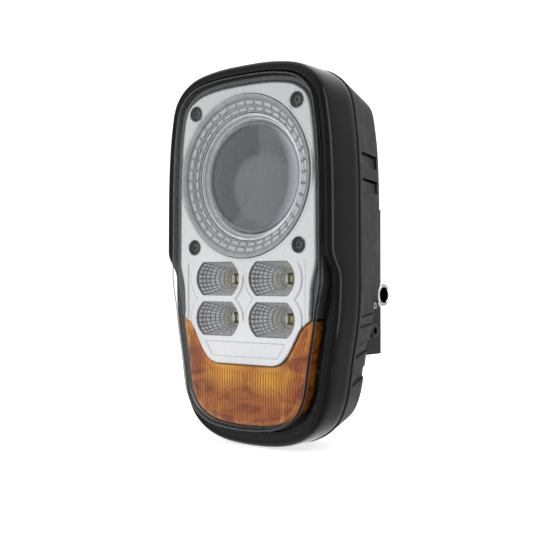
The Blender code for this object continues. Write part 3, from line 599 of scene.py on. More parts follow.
def amber_look():
    """Tinted plastic over bright reflectors: painted light in two warm patches over the chips, random warm
    flecks, darker mould flow, and painted shade in the fine flutes' valleys and the side windows.
    """
    look = Look("amber")
    deep, body, bright = (0.27, 0.050, 0.005), (0.56, 0.155, 0.011), (0.98, 0.46, 0.025)
    flow = look.noise(1.0, 3.0, stretch=(48, 48, 95), distortion=1.2)
    colour = look.mix(look.spread(flow, 0.38, 0.56, 0.0, 1.0), rgba(deep), rgba(body))
    # Painted light: two warm pools over the indicator chips.
    low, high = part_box("indicator_board")
    painted_glow = None
    for x, z in ((-0.018, 0.52), (0.021, 0.50)):
        middle = (x, 0.0, low.z + (high.z - low.z) * z)
        painted_glow_spot = look.spread(look.distance(middle, (48.0, 0.0, 82.0)), 0.15, 1.15, 1.0, 0.0)
        painted_glow = painted_glow_spot if painted_glow is None else look.sum("MAXIMUM", painted_glow, painted_glow_spot)
    fleck = look.spread(look.noise(1.0, 3.0, stretch=(95, 95, 45), distortion=0.8),
                        0.50, 0.66, 0.0, 1.0)
    # The mark carries painted shade, in the flute valleys of the front and in the side windows.
    flute = look.mark()
    painted_glow_and_flecks = look.sum("ADD", look.sum("MULTIPLY", painted_glow, 0.95), look.sum("MULTIPLY", fleck, 0.45))
    colour = look.mix(look.sum("MINIMUM", painted_glow_and_flecks, 1.0), colour, rgba(bright))
    colour = look.mix(look.sum("MULTIPLY", flute, 0.85), colour, (0.16, 0.030, 0.003, 1))
    normal = look.bump(look.noise(700, 3.0), 0.05, 0.0003)
    look.set(Base_Color=colour, Roughness=look.spread(look.noise(200), 0.3, 0.7, 0.16, 0.30),
             Coat_Weight=0.12, Coat_Roughness=0.05, Normal=normal, Specular_IOR_Level=0.2,
             Subsurface_Weight=0.05, Subsurface_Radius=(0.006, 0.002, 0.0006),
             Subsurface_Scale=1.0)
    return look.material


def glass_look():
    """The lens of the projector, all painted: dark shade inside, soft arcs of painted light, wide soft
    darker rings of the barrel behind it, a lighter painted rim and a painted highlight along its right edge.
    """
    look = Look("glass")
    centre = (0.0, GLASS_LOW.y, (GLASS_LOW.z + GLASS_HIGH.z) / 2)

    def radius(x, z):
        return look.distance((centre[0] + x, centre[1], centre[2] + z), (1.0, 0.0, 1.0))

    # Painted shade round a lighter disc, and a painted arc of light low down.
    painted_shade_sweep = look.spread(radius(0.016, -0.010), 0.022, 0.026, 0.0, 1.0)
    painted_light_sweep = look.spread(radius(-0.034, 0.012), 0.046, 0.049, 0.0, 1.0)
    # Painted shade: darker bands for the rings of the barrel seen behind the lens.
    rings = look.add("TexWave", {"wave_type": "BANDS", "bands_direction": "X"}, Scale=1.0)
    across = look.add("CombineXYZ", X=look.sum("MULTIPLY", radius(0.0, 0.004), 6.5))
    look.feed(rings.inputs["Vector"], across.outputs[0])
    shade = look.mix(painted_shade_sweep, (0.150, 0.152, 0.162, 1), (0.045, 0.047, 0.053, 1))
    shade = look.mix(look.sum("MULTIPLY", painted_light_sweep, 0.5), shade, (0.20, 0.205, 0.212, 1))
    shade = look.mix(look.sum("MULTIPLY", rings.outputs["Fac"], 0.22), shade, (0.06, 0.06, 0.065, 1))
    # Painted light: a lighter rim, and a bluish-white painted highlight along the right edge.
    rim = look.spread(radius(0.0, 0.0), 0.034, 0.0395, 0.0, 1.0)
    shade = look.mix(rim, shade, (0.20, 0.205, 0.21, 1))
    painted_highlight_crescent = look.spread(radius(-0.008, 0.0), 0.0418, 0.0472, 0.0, 0.9)
    shade = look.mix(painted_highlight_crescent, shade, (0.66, 0.71, 0.78, 1))
    look.set(Base_Color=shade, Roughness=look.spread(look.noise(90), 0.3, 0.7, 0.20, 0.32),
             Coat_Weight=0.5, Coat_Roughness=0.02, Coat_IOR=1.5, Metallic=0.1,
             Normal=look.bump(look.noise(40, 2.0), 0.03, 0.001))
    return look.material


def silver_look():
    """Vacuum-metallised plate under a clear coat, with painted light that makes it brighter low down and
    painted shade on its sloped steps.
    """
    look = Look("silver")
    # Painted light: brighter low down.
    height = look.add("SeparateXYZ", Vector=look.place).outputs["Z"]
    tone = look.spread(height, -0.04, 0.14, 1.0, 0.0)
    colour = look.mix(tone, (0.60, 0.60, 0.61, 1), (0.90, 0.90, 0.905, 1))
    cloud = look.spread(look.noise(18, 3.0), 0.35, 0.7, 0.0, 0.5)
    colour = look.mix(cloud, colour, (0.68, 0.685, 0.695, 1))
    # Painted shade on the sloped faces.
    step = look.sum("MULTIPLY", look.mark(), 0.75)
    colour = look.mix(step, colour, (0.10, 0.10, 0.105, 1))
    brushed = look.noise(1.0, 4.0, stretch=(900, 40, 40))
    normal = look.bump(brushed, 0.004, 0.0003)
    rough = look.spread(look.noise(60, 3.0), 0.3, 0.7, 0.24, 0.32)
    look.set(Base_Color=colour, Roughness=rough, Metallic=0.7, Normal=normal, Coat_Weight=0.25,
             Coat_Roughness=0.08)
    return look.material


CHROME = {"colour": (0.86, 0.87, 0.88), "roughness": 0.09, "metallic": 1.0, "vary": 0.04,
          "rough_vary": 0.04, "grain": (900, 0.015), "streak": ((60, 60, 900), 0.02)}
MATERIALS = {
    "clear_plastic": clear_look("clear_plastic", (0.985, 0.99, 0.995), 0.014),
    # The ring's plastic in two copies, darker for the body and lighter for the prisms: painted light and
    # shade.
    "guide_plastic": surface("guide_plastic", (0.40, 0.405, 0.415), 0.20, 0.35, vary=0.14,
                             patch=150, coat=0.8, grain=(800, 0.08)),
    "guide_block_painted_lighter": surface("guide_block_painted_lighter", (0.60, 0.605, 0.61), 0.16, 0.25, vary=0.16, patch=260,
                           coat=1.0, grain=(700, 0.10)),
    "glass": glass_look(),
    "gloss_black": surface("gloss_black", (0.006, 0.006, 0.0065), 0.10, vary=0.2, rough_vary=0.04,
                           grain=(500, 0.012), specular=0.22, wear=0.03,
                           streak=((900, 60, 14), 0.02)),
    "satin_black": surface("satin_black", (0.0075, 0.0075, 0.0078), 0.50, vary=0.14, patch=30,
                           grain=(1600, 0.16), specular=0.24, wear=0.04,
                           streak=((60, 900, 30), 0.03)),
    "bracket_black": surface("bracket_black", (0.0055, 0.0055, 0.0058), 0.42, metallic=0.1, vary=0.2,
                             grain=(1300, 0.22), wear=0.10, rough_vary=0.09, specular=0.35),
    "dark_grey": surface("dark_grey", (0.060, 0.061, 0.064), 0.34, vary=0.15, grain=(1400, 0.12),
                         wear=0.05),
    "silver": silver_look(),
    "chrome": surface("chrome", **CHROME),
    # Chrome with painted shade in its bore.
    "chrome_painted_bore_shade": surface("chrome_painted_bore_shade", shaded_bore=True, **CHROME),
    "cone_chrome": surface("cone_chrome", (0.86, 0.865, 0.87), 0.22, 0.6, vary=0.12, patch=90,
                           grain=(600, 0.08), streak=((300, 900, 300), 0.22)),
    "mirror_grey": surface("mirror_grey", (0.66, 0.665, 0.67), 0.21, 0.75, vary=0.08, patch=90,
                           grain=(1200, 0.05), coat=0.3),
    "reflector": facet_look(),
    "steel": surface("steel", (0.50, 0.50, 0.49), 0.32, 1.0, vary=0.14, rough_vary=0.10,
                     grain=(1500, 0.06), streak=((200, 1200, 1200), 0.06)),
    "black_steel": surface("black_steel", (0.020, 0.020, 0.021), 0.34, 0.55, vary=0.25,
                           rough_vary=0.10, grain=(1600, 0.12), wear=0.25),
    "screw_grey": surface("screw_grey", (0.075, 0.080, 0.076), 0.36, 0.35, vary=0.22,
                          rough_vary=0.1, grain=(1500, 0.12), wear=0.20),
    "aluminium": surface("aluminium", (0.58, 0.59, 0.60), 0.40, 1.0, vary=0.10, rough_vary=0.10,
                         grain=(1700, 0.10), streak=((30, 1400, 1400), 0.10)),
    "amber": amber_look(),
    "rubber": surface("rubber", (0.014, 0.014, 0.014), 0.78, vary=0.25, grain=(2200, 0.30),
                      specular=0.25),
    "board_white": surface("board_white", (0.76, 0.77, 0.74), 0.42, vary=0.06, grain=(900, 0.06),
                           coat=0.2),
    "board_green": surface("board_green", (0.018, 0.13, 0.055), 0.38, vary=0.30, patch=300,
                           grain=(700, 0.15), coat=0.4),
    "nylon": surface("nylon", (0.70, 0.69, 0.64), 0.48, vary=0.06, grain=(1400, 0.10)),
    "brass": surface("brass", (0.76, 0.56, 0.22), 0.26, 1.0, vary=0.15, rough_vary=0.1,
                     grain=(1500, 0.05)),
    "phosphor": surface("phosphor", (0.80, 0.62, 0.06), 0.45, vary=0.15, patch=600),
    "emitter_dark": surface("emitter_dark", (0.03, 0.032, 0.03), 0.4, vary=0.2, patch=500),
    "wire_red": surface("wire_red", (0.33, 0.02, 0.02), 0.42, vary=0.10, grain=(1200, 0.1)),
    "wire_black": surface("wire_black", (0.018, 0.018, 0.018), 0.45, vary=0.10, grain=(1200, 0.1)),
    "wire_yellow": surface("wire_yellow", (0.58, 0.40, 0.03), 0.42, vary=0.10, grain=(1200, 0.1)),
}


def placed(name, bm, material):
    """A bmesh in lamp millimetres as a smooth-shaded object in the row frame."""
    bmesh.ops.recalc_face_normals(bm, faces=bm.faces)
    bmesh.ops.translate(bm, vec=ORIGIN, verts=bm.verts)
    bmesh.ops.scale(bm, vec=(MM, MM, MM), verts=bm.verts)
    mesh = bpy.data.meshes.new(name)
    bm.to_mesh(mesh)
    bm.free()
    mesh.materials.append(material)
    mesh.shade_smooth()
    obj = bpy.data.objects.new(name, mesh)
    bpy.context.scene.collection.objects.link(obj)
    return obj


def round_edges(obj, width, angle):
    """A narrow rounding on the edges sharper than an angle; gives back its modifier."""
    rounding = obj.modifiers.new("edges", "BEVEL")
    rounding.width = width * MM
    rounding.segments = 2
    rounding.limit_method = "ANGLE"
    rounding.angle_limit = math.radians(angle)
    return rounding


def piece(name, bm, look, body="lamp_head", stands_for=(), sharp=35, bevel=0.0):
    """One shown piece: moved into the row frame, shaded, finished and fixed to its body."""
    obj = placed(name, bm, MATERIALS[look])
    obj.data.set_sharp_from_angle(angle=math.radians(sharp))
    if bevel:
        round_edges(obj, bevel, 40).harden_normals = True
    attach(obj, body)
    if stands_for:
        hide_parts(*stands_for)
    return obj


# ---------------------------------------------------------------- cover and frames
def clear_cover():
    """The domed clear cover, with its rounded front corner, side wall and rear flange."""
    edge = raised(lens_inset)

    def dome(shrink, y):
        return ring(edge(1.0), y - COVER_DOME * (1 - shrink ** 5), shrink)

    steps = (0.12, 0.3, 0.5, 0.65, 0.78, 0.88, 0.95)
    outer = [dome(s, -0.2) for s in steps]
    corner = [ring(edge(1.4), -0.35), ring(edge(0.9), -0.15), ring(edge(0.45), 0.2),
              ring(edge(0.15), 0.8), ring(edge(0.0), 1.6)]
    wall = [ring(edge(-0.02), 2.3), ring(edge(-0.2), 9.0), ring(edge(-0.4), 18.6), ring(4.8, 18.6),
            ring(4.6, 18.8), ring(4.6, 20.8), ring(edge(1.8), 20.8), ring(edge(2.0), 4.6),
            ring(edge(2.2), 3.2), ring(edge(2.6), 2.3)]
    inner = [dome(s, 1.9) for s in reversed(steps)]
    bm = loft(outer + corner + wall + inner)
    # The rounded front corner's rings are marked for painted shade.
    corner_shade_depths = (-0.15, 0.2, 0.8, 1.6)
    tint_and_corner_shade = [1.0 if min(abs(vert.co.y - y) for y in corner_shade_depths) < 0.01 else 0.0 for vert in bm.verts]
    piece("cover", marked(bm, tint_and_corner_shade), "clear_plastic", stands_for=["outer_lens"], sharp=50)


def front_bezel():
    """Gloss frame: flat face with two shallow grooves, a tight front corner and plain flanks."""
    edge, depth = raised(lens_inset), raised(front_y)
    inner = [ring(3.4, RIDGE_Y - 0.4), ring(3.4, 18.2), ring(edge(-0.8), 18.2),
             ring(edge(-0.8), depth(1.2)), ring(edge(-1.0), depth(0.6)), ring(edge(-1.5), depth(0.35))]
    grooves = []
    for at in (5.0, 4.0):
        grooves += [ring(at, depth(0.15)), ring(at - 0.08, depth(0.5)), ring(at - 0.32, depth(0.5)),
                    ring(at - 0.4, depth(0.12))]
    corner = [ring(a, depth(b)) for a, b in (
        (3.0, 0.0), (2.65, 0.05), (2.4, 0.22), (1.8, 0.75), (1.2, 1.35), (0.85, 1.8), (0.55, 2.6),
        (0.3, 3.9), (0.12, 5.4), (0.0, 7.4))]
    flank = [ring(0.0, lambda z: front_y(z) * 0.5 + 17.0), ring(0.12, 30.0), ring(0.16, 35.9),
             ring(0.3, 36.45), ring(0.6, RIDGE_Y - 0.4)]
    piece("front_bezel", loft(inner + grooves + corner + flank, closed=True), "gloss_black",
          stands_for=["front_frame"], sharp=28)


def inner_border():
    """Dark frame between the silver plate and the cover, stepped down towards the plate."""
    def outer(z):
        return lens_inset(z) + 2.4

    def inner(z):
        return max(trim_inset(z) - 0.6, lens_inset(z) + 3.4)

    section = [ring(outer, 5.0), ring(raised(outer)(0.3), 4.4), ring(raised(inner)(-0.5), 4.7),
               ring(inner, 5.3), ring(inner, 20.0), ring(outer, 20.0)]
    bm = carved(loft(section, closed=True), [(CUT, block((-90, 90), (0, 40), (-140, -35)))])
    piece("inner_border", bm, "dark_grey", stands_for=["border_frame"])


# ---------------------------------------------------------------- silver plate
def cup_reach(angle, grow=0.0):
    """How far a cup's mouth reaches from its centre in one direction."""
    c, s = abs(math.cos(angle)), abs(math.sin(angle))
    half_wide, half_high = CUP_WIDE / 2 + grow, CUP_HIGH / 2 + grow
    low, high = 0.0, 30.0
    for _ in range(30):
        r = (low + high) / 2
        z = min(r * s / half_high, 1.0)
        inside = r * s < half_high and r * c < half_wide - 6.5 * z ** 2.2
        low, high = (r, high) if inside else (low, r)
    return low


def cup_loop(centre, grow=0.0, count=96):
    return [(centre[0] + cup_reach(a, grow) * math.cos(a),
             centre[1] + cup_reach(a, grow) * math.sin(a)) for a in turns(count)]


def with_tongue(tongue):
    """The upper outline and a tongue's rounded lower end as one closed outline."""
    body = [(x, z) for x, z in flat_ring(trim_inset) if z > -33.5]
    top = [point for point in body if abs(point[0]) <= 0.001]
    right = [point for point in body if point[0] > 0.001]
    half = right + softened([right[-1]] + tongue + [(0.2, tongue[-1][1])], 4.5)[1:]
    return top + half + [(-x, z) for x, z in reversed(half)]


def trim_height(points):
    """Front surface of the silver plate: rolled edge, collars round the cups, lower panel."""
    x, z = np.abs(points[:, 0]), points[:, 1]
    edge = inside_distance(points, with_tongue(TONGUE))
    upper = ramp(z, -40, -28)
    wide = 1.3 + 2.1 * upper
    roll = np.clip((wide - edge) / wide, 0, 1)
    y = TRIM_Y + (0.9 + 1.7 * upper) * (1 - np.sqrt(1 - 0.98 * roll ** 2))
    folded = np.stack([x, z], axis=1)
    cups = [-inside_distance(folded, cup_loop(CUP_CENTRES[n])) for n in ("upper_right", "lower_right")]
    near = np.minimum(cups[0], cups[1])
    collar = 3.3 + 2.0 * ramp(x, 36, 44)
    side = ramp(z, -46, -40) * (1 - ramp(z, 1, 6)) * (1 - ramp(x, 51.9, 52.45))
    middle = ramp(z, -41.5, -36) * (1 - ramp(z, -8, -3))
    y += 0.8 * ramp(near, collar, collar + 0.55) * np.where(x < 16, middle, side)
    panel = inside_distance(points, [(-36, -52.4), (36, -52.4), (29, -63), (-29, -63)])
    y += 0.7 * ramp(panel, 0.0, 0.55)
    to_ring = np.hypot(points[:, 0], z - PROJECTOR_Z) - RING_R - 0.5
    y -= 0.5 * (1 - ramp(to_ring, 0.8, 1.9))
    for centre in SCREW_CENTRES.values():
        away = np.hypot(points[:, 0] - centre[0], z - centre[1])
        y += 0.55 * (1 - ramp(away, 5.7, 7.4))
    return y


def silver_plate():
    xs = np.arange(-66.5, 66.6, PLATE_GRID)
    zs = np.arange(-71, 131, PLATE_GRID)
    bm = relief(xs, zs, trim_height, 6.2)
    steps = [(KEEP, prism_y(with_tongue(TONGUE), -3, 20)),
             (CUT, prism_y(circle((0, PROJECTOR_Z), RING_R + 0.5, 160), -5, 25))]
    steps += [(CUT, prism_y(cup_loop(centre), -5, 25)) for centre in CUP_CENTRES.values()]
    steps += [(CUT, prism_y(circle(centre, 5.6, 48), -5, 25)) for centre in SCREW_CENTRES.values()]
    plate = carved(bm, steps)
    bmesh.ops.recalc_face_normals(plate, faces=plate.faces)
    plate.normal_update()
    # Faces that lean away from straight ahead are marked for painted shade.
    lean = ramp(1 - np.abs([vert.normal.y for vert in plate.verts]), 0.03, 0.35)
    piece("silver_plate", marked(plate, lean), "silver", stands_for=["silver_trim"], sharp=42)


def star(centre, radius, lobes=6, count=72, depth=0.16):
    return [(centre[0] + radius * (1 + depth * math.cos(lobes * t)) * math.cos(t),
             centre[1] + radius * (1 + depth * math.cos(lobes * t)) * math.sin(t))
            for t in turns(count)]


def trim_fixings():
    """Each plate screw: a button head with a lobed recess, down in a dark moulded cup."""
    cup = [(0.0, 7.6), (5.5, 7.6), (5.5, 2.9), (5.35, 2.6), (5.1, 2.6), (4.9, 3.2), (4.55, 6.3),
           (0.0, 6.3)]
    head = [(0.0, 3.5), (1.5, 3.55), (2.5, 3.85), (3.15, 4.5), (3.3, 5.2), (3.3, 6.1), (1.3, 6.1),
            (1.3, 14.6), (0.0, 15.0)]
    for corner, (x, z) in SCREW_CENTRES.items():
        piece("screw_cup_" + corner, lathe(cup, (x, 0, z), 64), "screw_grey")
        bm = carved(lathe(head, (x, 0, z), 64), [(CUT, prism_y(star((x, z), 1.55), 2, 5.2))])
        piece("plate_screw_" + corner, bm, "screw_grey", stands_for=["trim_screw_" + corner])


# ---------------------------------------------------------------- light ring
def pad(top, bottom):
    """A closed body between two equal grids of points (rows of columns)."""
    bm = bmesh.new()
    rows, columns = len(top), len(top[0])
    upper = [[bm.verts.new(p) for p in row] for row in top]
    lower = [[bm.verts.new(p) for p in row] for row in bottom]
    for grid in (upper, lower):
        for r in range(rows - 1):
            for c in range(columns - 1):
                bm.faces.new((grid[r][c], grid[r][c + 1], grid[r + 1][c + 1], grid[r + 1][c]))
    border = [(0, c) for c in range(columns)] + [(r, columns - 1) for r in range(1, rows)]
    border += [(rows - 1, c) for c in range(columns - 2, -1, -1)]
    border += [(r, 0) for r in range(rows - 2, 0, -1)]
    for (r, c), (m, n) in zip(border, border[1:] + border[:1]):
        bm.faces.new((upper[r][c], upper[m][n], lower[m][n], lower[r][c]))
    return bm


def ring_block(angle, radius, half_long, half_deep):
    """One small prism of the light ring, seated on its funnel, with four flutes across it."""
    out = Vector((math.cos(angle), 0, math.sin(angle)))
    along = Vector((-math.sin(angle), 0, math.cos(angle)))
    slope = (Vector((0, FUNNEL_RISE, 0)) - out * FUNNEL_RUN).normalized()
    normal = -(Vector((0, FUNNEL_RUN, 0)) + out * FUNNEL_RISE).normalized()
    seat_y = 3.8 + (52.8 - radius) * FUNNEL_RISE / FUNNEL_RUN
    seat = Vector((0, seat_y, PROJECTOR_Z)) + out * radius
    top, bottom = [], []
    for r in range(6):
        v = 2 * r / 5 - 1
        upper, lower = [], []
        for c in range(17):
            u = 2 * c / 16 - 1
            crown = (1 - abs(u) ** 10) * (1 - abs(v) ** 6)
            flute = 0.62 + 0.38 * abs(math.sin(2 * math.pi * (u + 1)))
            at = seat + along * (u * half_long) + slope * (v * half_deep)
            upper.append(at + normal * (0.15 + 0.95 * crown * flute))
            lower.append(at - normal * 0.3)
        top.append(upper)
        bottom.append(lower)
    return pad(top, bottom)


def light_ring():
    """The ring's clear body: raised rim, smooth band and stepped funnel under its two rows."""
    body = [(57.0, 1.1), (56.8, 0.7), (56.4, 0.6), (55.9, 0.8), (54.4, 1.75), (53.6, 2.4), (53.3, 2.9),
            (53.15, 3.9), (52.8, 4.1), (49.5, 6.2), (49.2, 5.7), (48.8, 5.9), (48.8, 6.7),
            (46.0, 8.5), (45.6, 8.1), (45.2, 8.3), (45.1, 9.0), (45.1, 12.2), (57.0, 6.5)]
    piece("light_ring", lathe(body, (0, 0, PROJECTOR_Z), 200), "guide_plastic",
          stands_for=["ring_guide"], sharp=30)
    for name, *block_size in (("outer", 51.2, 3.25, 1.55), ("inner", 47.35, 2.95, 1.3)):
        blocks = [ring_block(2 * math.pi * (i + 0.5) / PRISM_COUNT, *block_size)
                  for i in range(PRISM_COUNT)]
        piece("light_ring_prisms_" + name, merged(blocks), "guide_block_painted_lighter", sharp=60)


def projector_front():
    """Bright cone with fine steps, the rim round the lens, and the domed lens itself."""
    cone = [(44.7, 9.0), (44.3, 8.8), (43.9, 9.0), (43.5, 9.7), (43.1, 9.6), (42.8, 10.3), (42.2, 11.3),
            (41.4, 12.2), (41.1, 12.1), (40.8, 12.5), (40.2, 13.2), (39.9, 13.6), (44.7, 13.6)]
    piece("bright_cone", lathe(cone, (0, 0, PROJECTOR_Z), 160), "cone_chrome",
          stands_for=["projector_collar"], sharp=24)
    dome = [(GLASS_R * math.cos(t), 13.9 - 12.6 * math.sin(t))
            for t in (math.pi / 2 * (1 - i / 26) for i in range(27))]
    profile = dome + [(39.6, 14.2), (41.0, 14.3), (41.1, 14.5), (41.1, 16.3), (0.0, 16.3)]
    piece("projector_lens", lathe(profile, (0, 0, PROJECTOR_Z), 160), "glass",
          stands_for=["projector_glass"], sharp=30)


# ---------------------------------------------------------------- reflector cups
CUP_STEPS = ((0.0, 1.0, 4.5), (0.25, 0.935, 9.3), (0.5, 0.82, 14.4), (0.75, 0.64, 19.3),
             (1.0, 0.44, 24.0))


def cup_level(t):
    """Scale and depth of a cup's wall at t, 0 at the mouth and 1 at the throat."""
    k = min(int(t * 4), 3)
    f = t * 4 - k
    rows = [CUP_STEPS[min(max(k + j, 0), 4)][1:] for j in (-1, 0, 1, 2)]
    return [0.5 * (2 * b + (c - a) * f + (2 * a - 5 * b + 4 * c - d) * f * f
                   + (3 * b - a - 3 * c + d) * f ** 3) for a, b, c, d in zip(*rows)]


def reflector(corner, centre):
    """A cup of pillow facets, in sectors and rings, from its mouth to the opening for the light."""
    sectors, rings, fine = 36, 8, 4
    count = sectors * fine
    angles = turns(count)
    reach = [cup_reach(angle, -0.15) for angle in angles]
    swell = [1 - abs(k / fine * 2 - 1) ** 4 for k in range(fine)]

    def loop(t, facet=0.0, grow=0.0, back=0.0):
        scale, y = cup_level(t)
        soft = ramp(t, 0.25, 1.0)
        points = []
        for i, angle in enumerate(angles):
            wall = scale * ((1 - soft) * reach[i] + soft * 12.6)
            radius = wall - facet * swell[i % fine] * wall / 13 + grow
            points.append((centre[0] + radius * math.cos(angle), y + back,
                           centre[1] + radius * math.sin(angle)))
        return points

    inner = [loop((k / (rings * fine)) ** 0.85, 0.62 * swell[k % fine])
             for k in range(rings * fine + 1)]
    outer = [loop(t, grow=0.8, back=0.2) for t in (1.0, 0.75, 0.5, 0.25, 0.0)]
    bm = loft(inner + outer, closed=True)
    # The pads' inner points are marked; the reflector material paints shade into the creases between pads.
    pads = [float(bool(k // count % fine and k % count % fine)) for k in range(len(bm.verts))]
    piece("reflector_cup_" + corner, marked(bm, pads), "reflector",
          stands_for=["reflector_" + corner], sharp=16)


def emitters():
    """At each throat: a white seat, the dark package of the chip with its waist and its strip; round the
    throat, two thin yellow beads that are a painted reflection of the phosphor.
    """
    seats, packages, strips, painted_phosphor_reflections = [], [], [], []
    for x, z in CUP_CENTRES.values():
        seats.append(lathe([(6.2, 24.4), (6.2, 25.2), (0.0, 25.2), (0.0, 24.8), (5.0, 24.8)], (x, 0, z), 6))
        waist = [(-1.9, 4.1), (1.9, 4.1), (1.9, 2.6), (1.1, 2.3), (1.1, -2.3), (1.9, -2.6), (1.9, -4.1),
                 (-1.9, -4.1), (-1.9, -2.6), (-1.1, -2.3), (-1.1, 2.3), (-1.9, 2.6)]
        packages.append(prism_y([(x + a, z + b) for a, b in waist], 22.9, 24.9))
        strips.append(block((x + 1.2, x + 2.5), (22.8, 24.8), (z - 2.1, z + 2.1), edge=0.15))
        # Painted reflection of the phosphor: thin yellow beads round the throat.
        for radius in (5.75, 8.1):
            y = 22.9 if radius < 7 else 19.8
            painted_phosphor_reflections.append(bead([(a, y, b) for a, b in circle((x, z), radius)], 0.16, 6))
    piece("emitter_seats", merged(seats), "board_white")
    piece("emitter_packages", merged(packages), "emitter_dark", bevel=0.15)
    piece("emitter_strips", merged(strips), "phosphor")
    piece("painted_phosphor_reflection_rings", merged(painted_phosphor_reflections), "phosphor")


# ---------------------------------------------------------------- amber optic
def amber_loop(more=0.0):
    """Edge of the amber front: the optic's outline below, and the tongue's edge above."""
    lower = [(x, z) for x, z in flat_ring(raised(amber_inset)(more)) if z < -37.2]
    right = [p for p in lower if p[0] > 0.001]
    bottom = [p for p in lower if abs(p[0]) <= 0.001]
    edge = [(x, z - more) for x, z in AMBER_EDGE]
    upper = softened(edge + [(0.2, edge[-1][1])], 4.5)
    half = list(reversed(upper)) + [p for p in right if p[1] < edge[0][1] - 0.3]
    return half + bottom + [(-x, z) for x, z in reversed(half)]


def amber_flute(x, z):
    """0 on a flute's crest and 1 in its valley; towards the right the flutes bend with the edge."""
    lift = np.maximum(z + 88, 0) * 0.55
    phase = np.where(x > 22, 22 + np.hypot(x - 22, lift * ramp(x, 22, 40)), x)
    return 0.5 + 0.5 * np.cos(2 * math.pi * phase / FLUTE_PITCH)


def amber_height(points):
    """Fluted front of the amber optic, with a smooth rolled edge."""
    x, z = points[:, 0], points[:, 1]
    edge = inside_distance(points, amber_loop())
    roll = np.clip((2.6 - edge) / 2.6, 0, 1)
    depth = 0.6 * ramp(edge, 2.2, 3.2)
    return 3.5 + depth * amber_flute(x, z) + 1.5 * (1 - np.sqrt(1 - 0.98 * roll ** 2))


def side_inset(z, y):
    """Relief of the amber side walls: three windows of fine flutes and plain frames round them."""
    cut = 0.0
    for high, low in ((-49.0, -64.7), (-68.0, -80.4), (-86.0, -97.5)):
        inside = ramp(z, low, low + 0.9) * (1 - ramp(z, high - 0.9, high))
        inside *= ramp(y, 5.7, 6.5) * (1 - ramp(y, 11.6, 12.4))
        cut += inside * (0.75 + 0.4 * math.cos(2 * math.pi * z / SIDE_FLUTE_PITCH))
    return cut


def amber_side(side):
    wall = [p for p in flat_ring(raised(amber_inset)(-0.35)) if p[0] > 0 and p[1] < -30]
    heights = np.array([-p[1] for p in wall])
    widths = np.array([p[0] for p in wall])
    count = int(np.argmax(widths < 42)) or len(widths)
    zs = np.arange(-37.0, -heights[count - 1], -0.3)
    ys = np.concatenate([[4.7, 5.0], np.linspace(5.4, 15.6, 24)])
    top, bottom = [], []
    for z in zs:
        x = float(np.interp(-z, heights[:count], widths[:count]))
        top.append([(side * (x - side_inset(z, y) - (0.5 if y < 4.9 else 0.0)), y, z) for y in ys])
        bottom.append([(side * (x - 2.2), y, z) for y in ys])
    return pad(top, bottom)


def amber_optic():
    """The indicator's amber cover: fluted front, ribbed side walls and the dish behind them, with painted
    shade marked in the flute valleys and the side windows.
    """
    edge = raised(amber_inset)
    rings = [ring(edge(2.4), 5.6, 0.6), ring(edge(2.4), 5.6), ring(edge(0.6), 6.0), ring(edge(0.2), 7.0),
             ring(edge(0.2), 15.8), ring(edge(2), 15.8), ring(edge(2.6), 7.4), ring(edge(2.6), 7.4, 0.6)]
    tongue = prism_y([(90, -36.6), (56, -38.6), (48, -44.6), (38.4, -61.6), (32.5, -68.2), (0, -70.6),
                      (-32.5, -68.2), (-38.4, -61.6), (-48, -44.6), (-56, -38.6), (-90, -36.6),
                      (-90, 160), (90, 160)], 0, 9)
    dish = carved(loft(rings), [(CUT, tongue), (CUT, block((-95, 95), (8.5, 30), (-37.0, 160)))])
    piece("amber_dish", dish, "amber", stands_for=["amber_optic"], sharp=40)
    bm = relief(np.arange(-62, 62.1, 0.31), np.arange(-113, -34, 1.6), amber_height, 6.2)
    front = carved(bm, [(KEEP, prism_y(amber_loop(), 0, 20))])
    at = np.array([(v.co.x, v.co.z) for v in front.verts])
    # Painted shade in the flute valleys.
    valley = amber_flute(at[:, 0], at[:, 1]) ** 2 * ramp(inside_distance(at, amber_loop()), 2.2, 3.4)
    piece("amber_front", marked(front, valley), "amber", sharp=60)
    for name, side in SIDES:
        wall = amber_side(side)
        # Painted shade in the recessed side windows.
        window = [ramp(side_inset(vert.co.z, vert.co.y), 0.1, 1.15) * 0.85 for vert in wall.verts]
        piece("amber_side_" + name, marked(wall, window), "amber", sharp=50)
        x = side * 58.2
        piece("amber_latch_" + name,
              block((x - 0.5, x + 0.6), (10.2, 12.8), (-39.7, -37.9), edge=0.3), "screw_grey")


# ---------------------------------------------------------------- rear housing
def outline_x(z):
    """Half width of the outline at a height."""
    near = sorted((abs(p.y - z), p.x) for p, normal in OUTLINE if p.x > 0)[:2]
    (d1, x1), (d2, x2) = near
    return (x1 * d2 + x2 * d1) / (d1 + d2)


def flank_cut(side, z, rise, high, deep, front, back):
    """A slab that cuts a band of one height and depth into a tapered flank."""
    lean = math.atan(TAPER)
    slope = math.atan((outline_x(z + 6) - outline_x(z - 6)) / 12)
    middle = (front + back) / 2
    x = outline_x(z) - taper_inset(middle) - deep + 6
    turn = (Matrix.Rotation(side * lean, 4, "Z") @ Matrix.Rotation(math.radians(rise), 4, "X")
            @ Matrix.Rotation(side * slope, 4, "Y"))
    z_middle = z + (middle - 72) * math.sin(math.radians(rise))
    return block((side * x - 6, side * x + 6), (front, back), (z_middle - high / 2, z_middle + high / 2),
                 turn, edge=0.25)


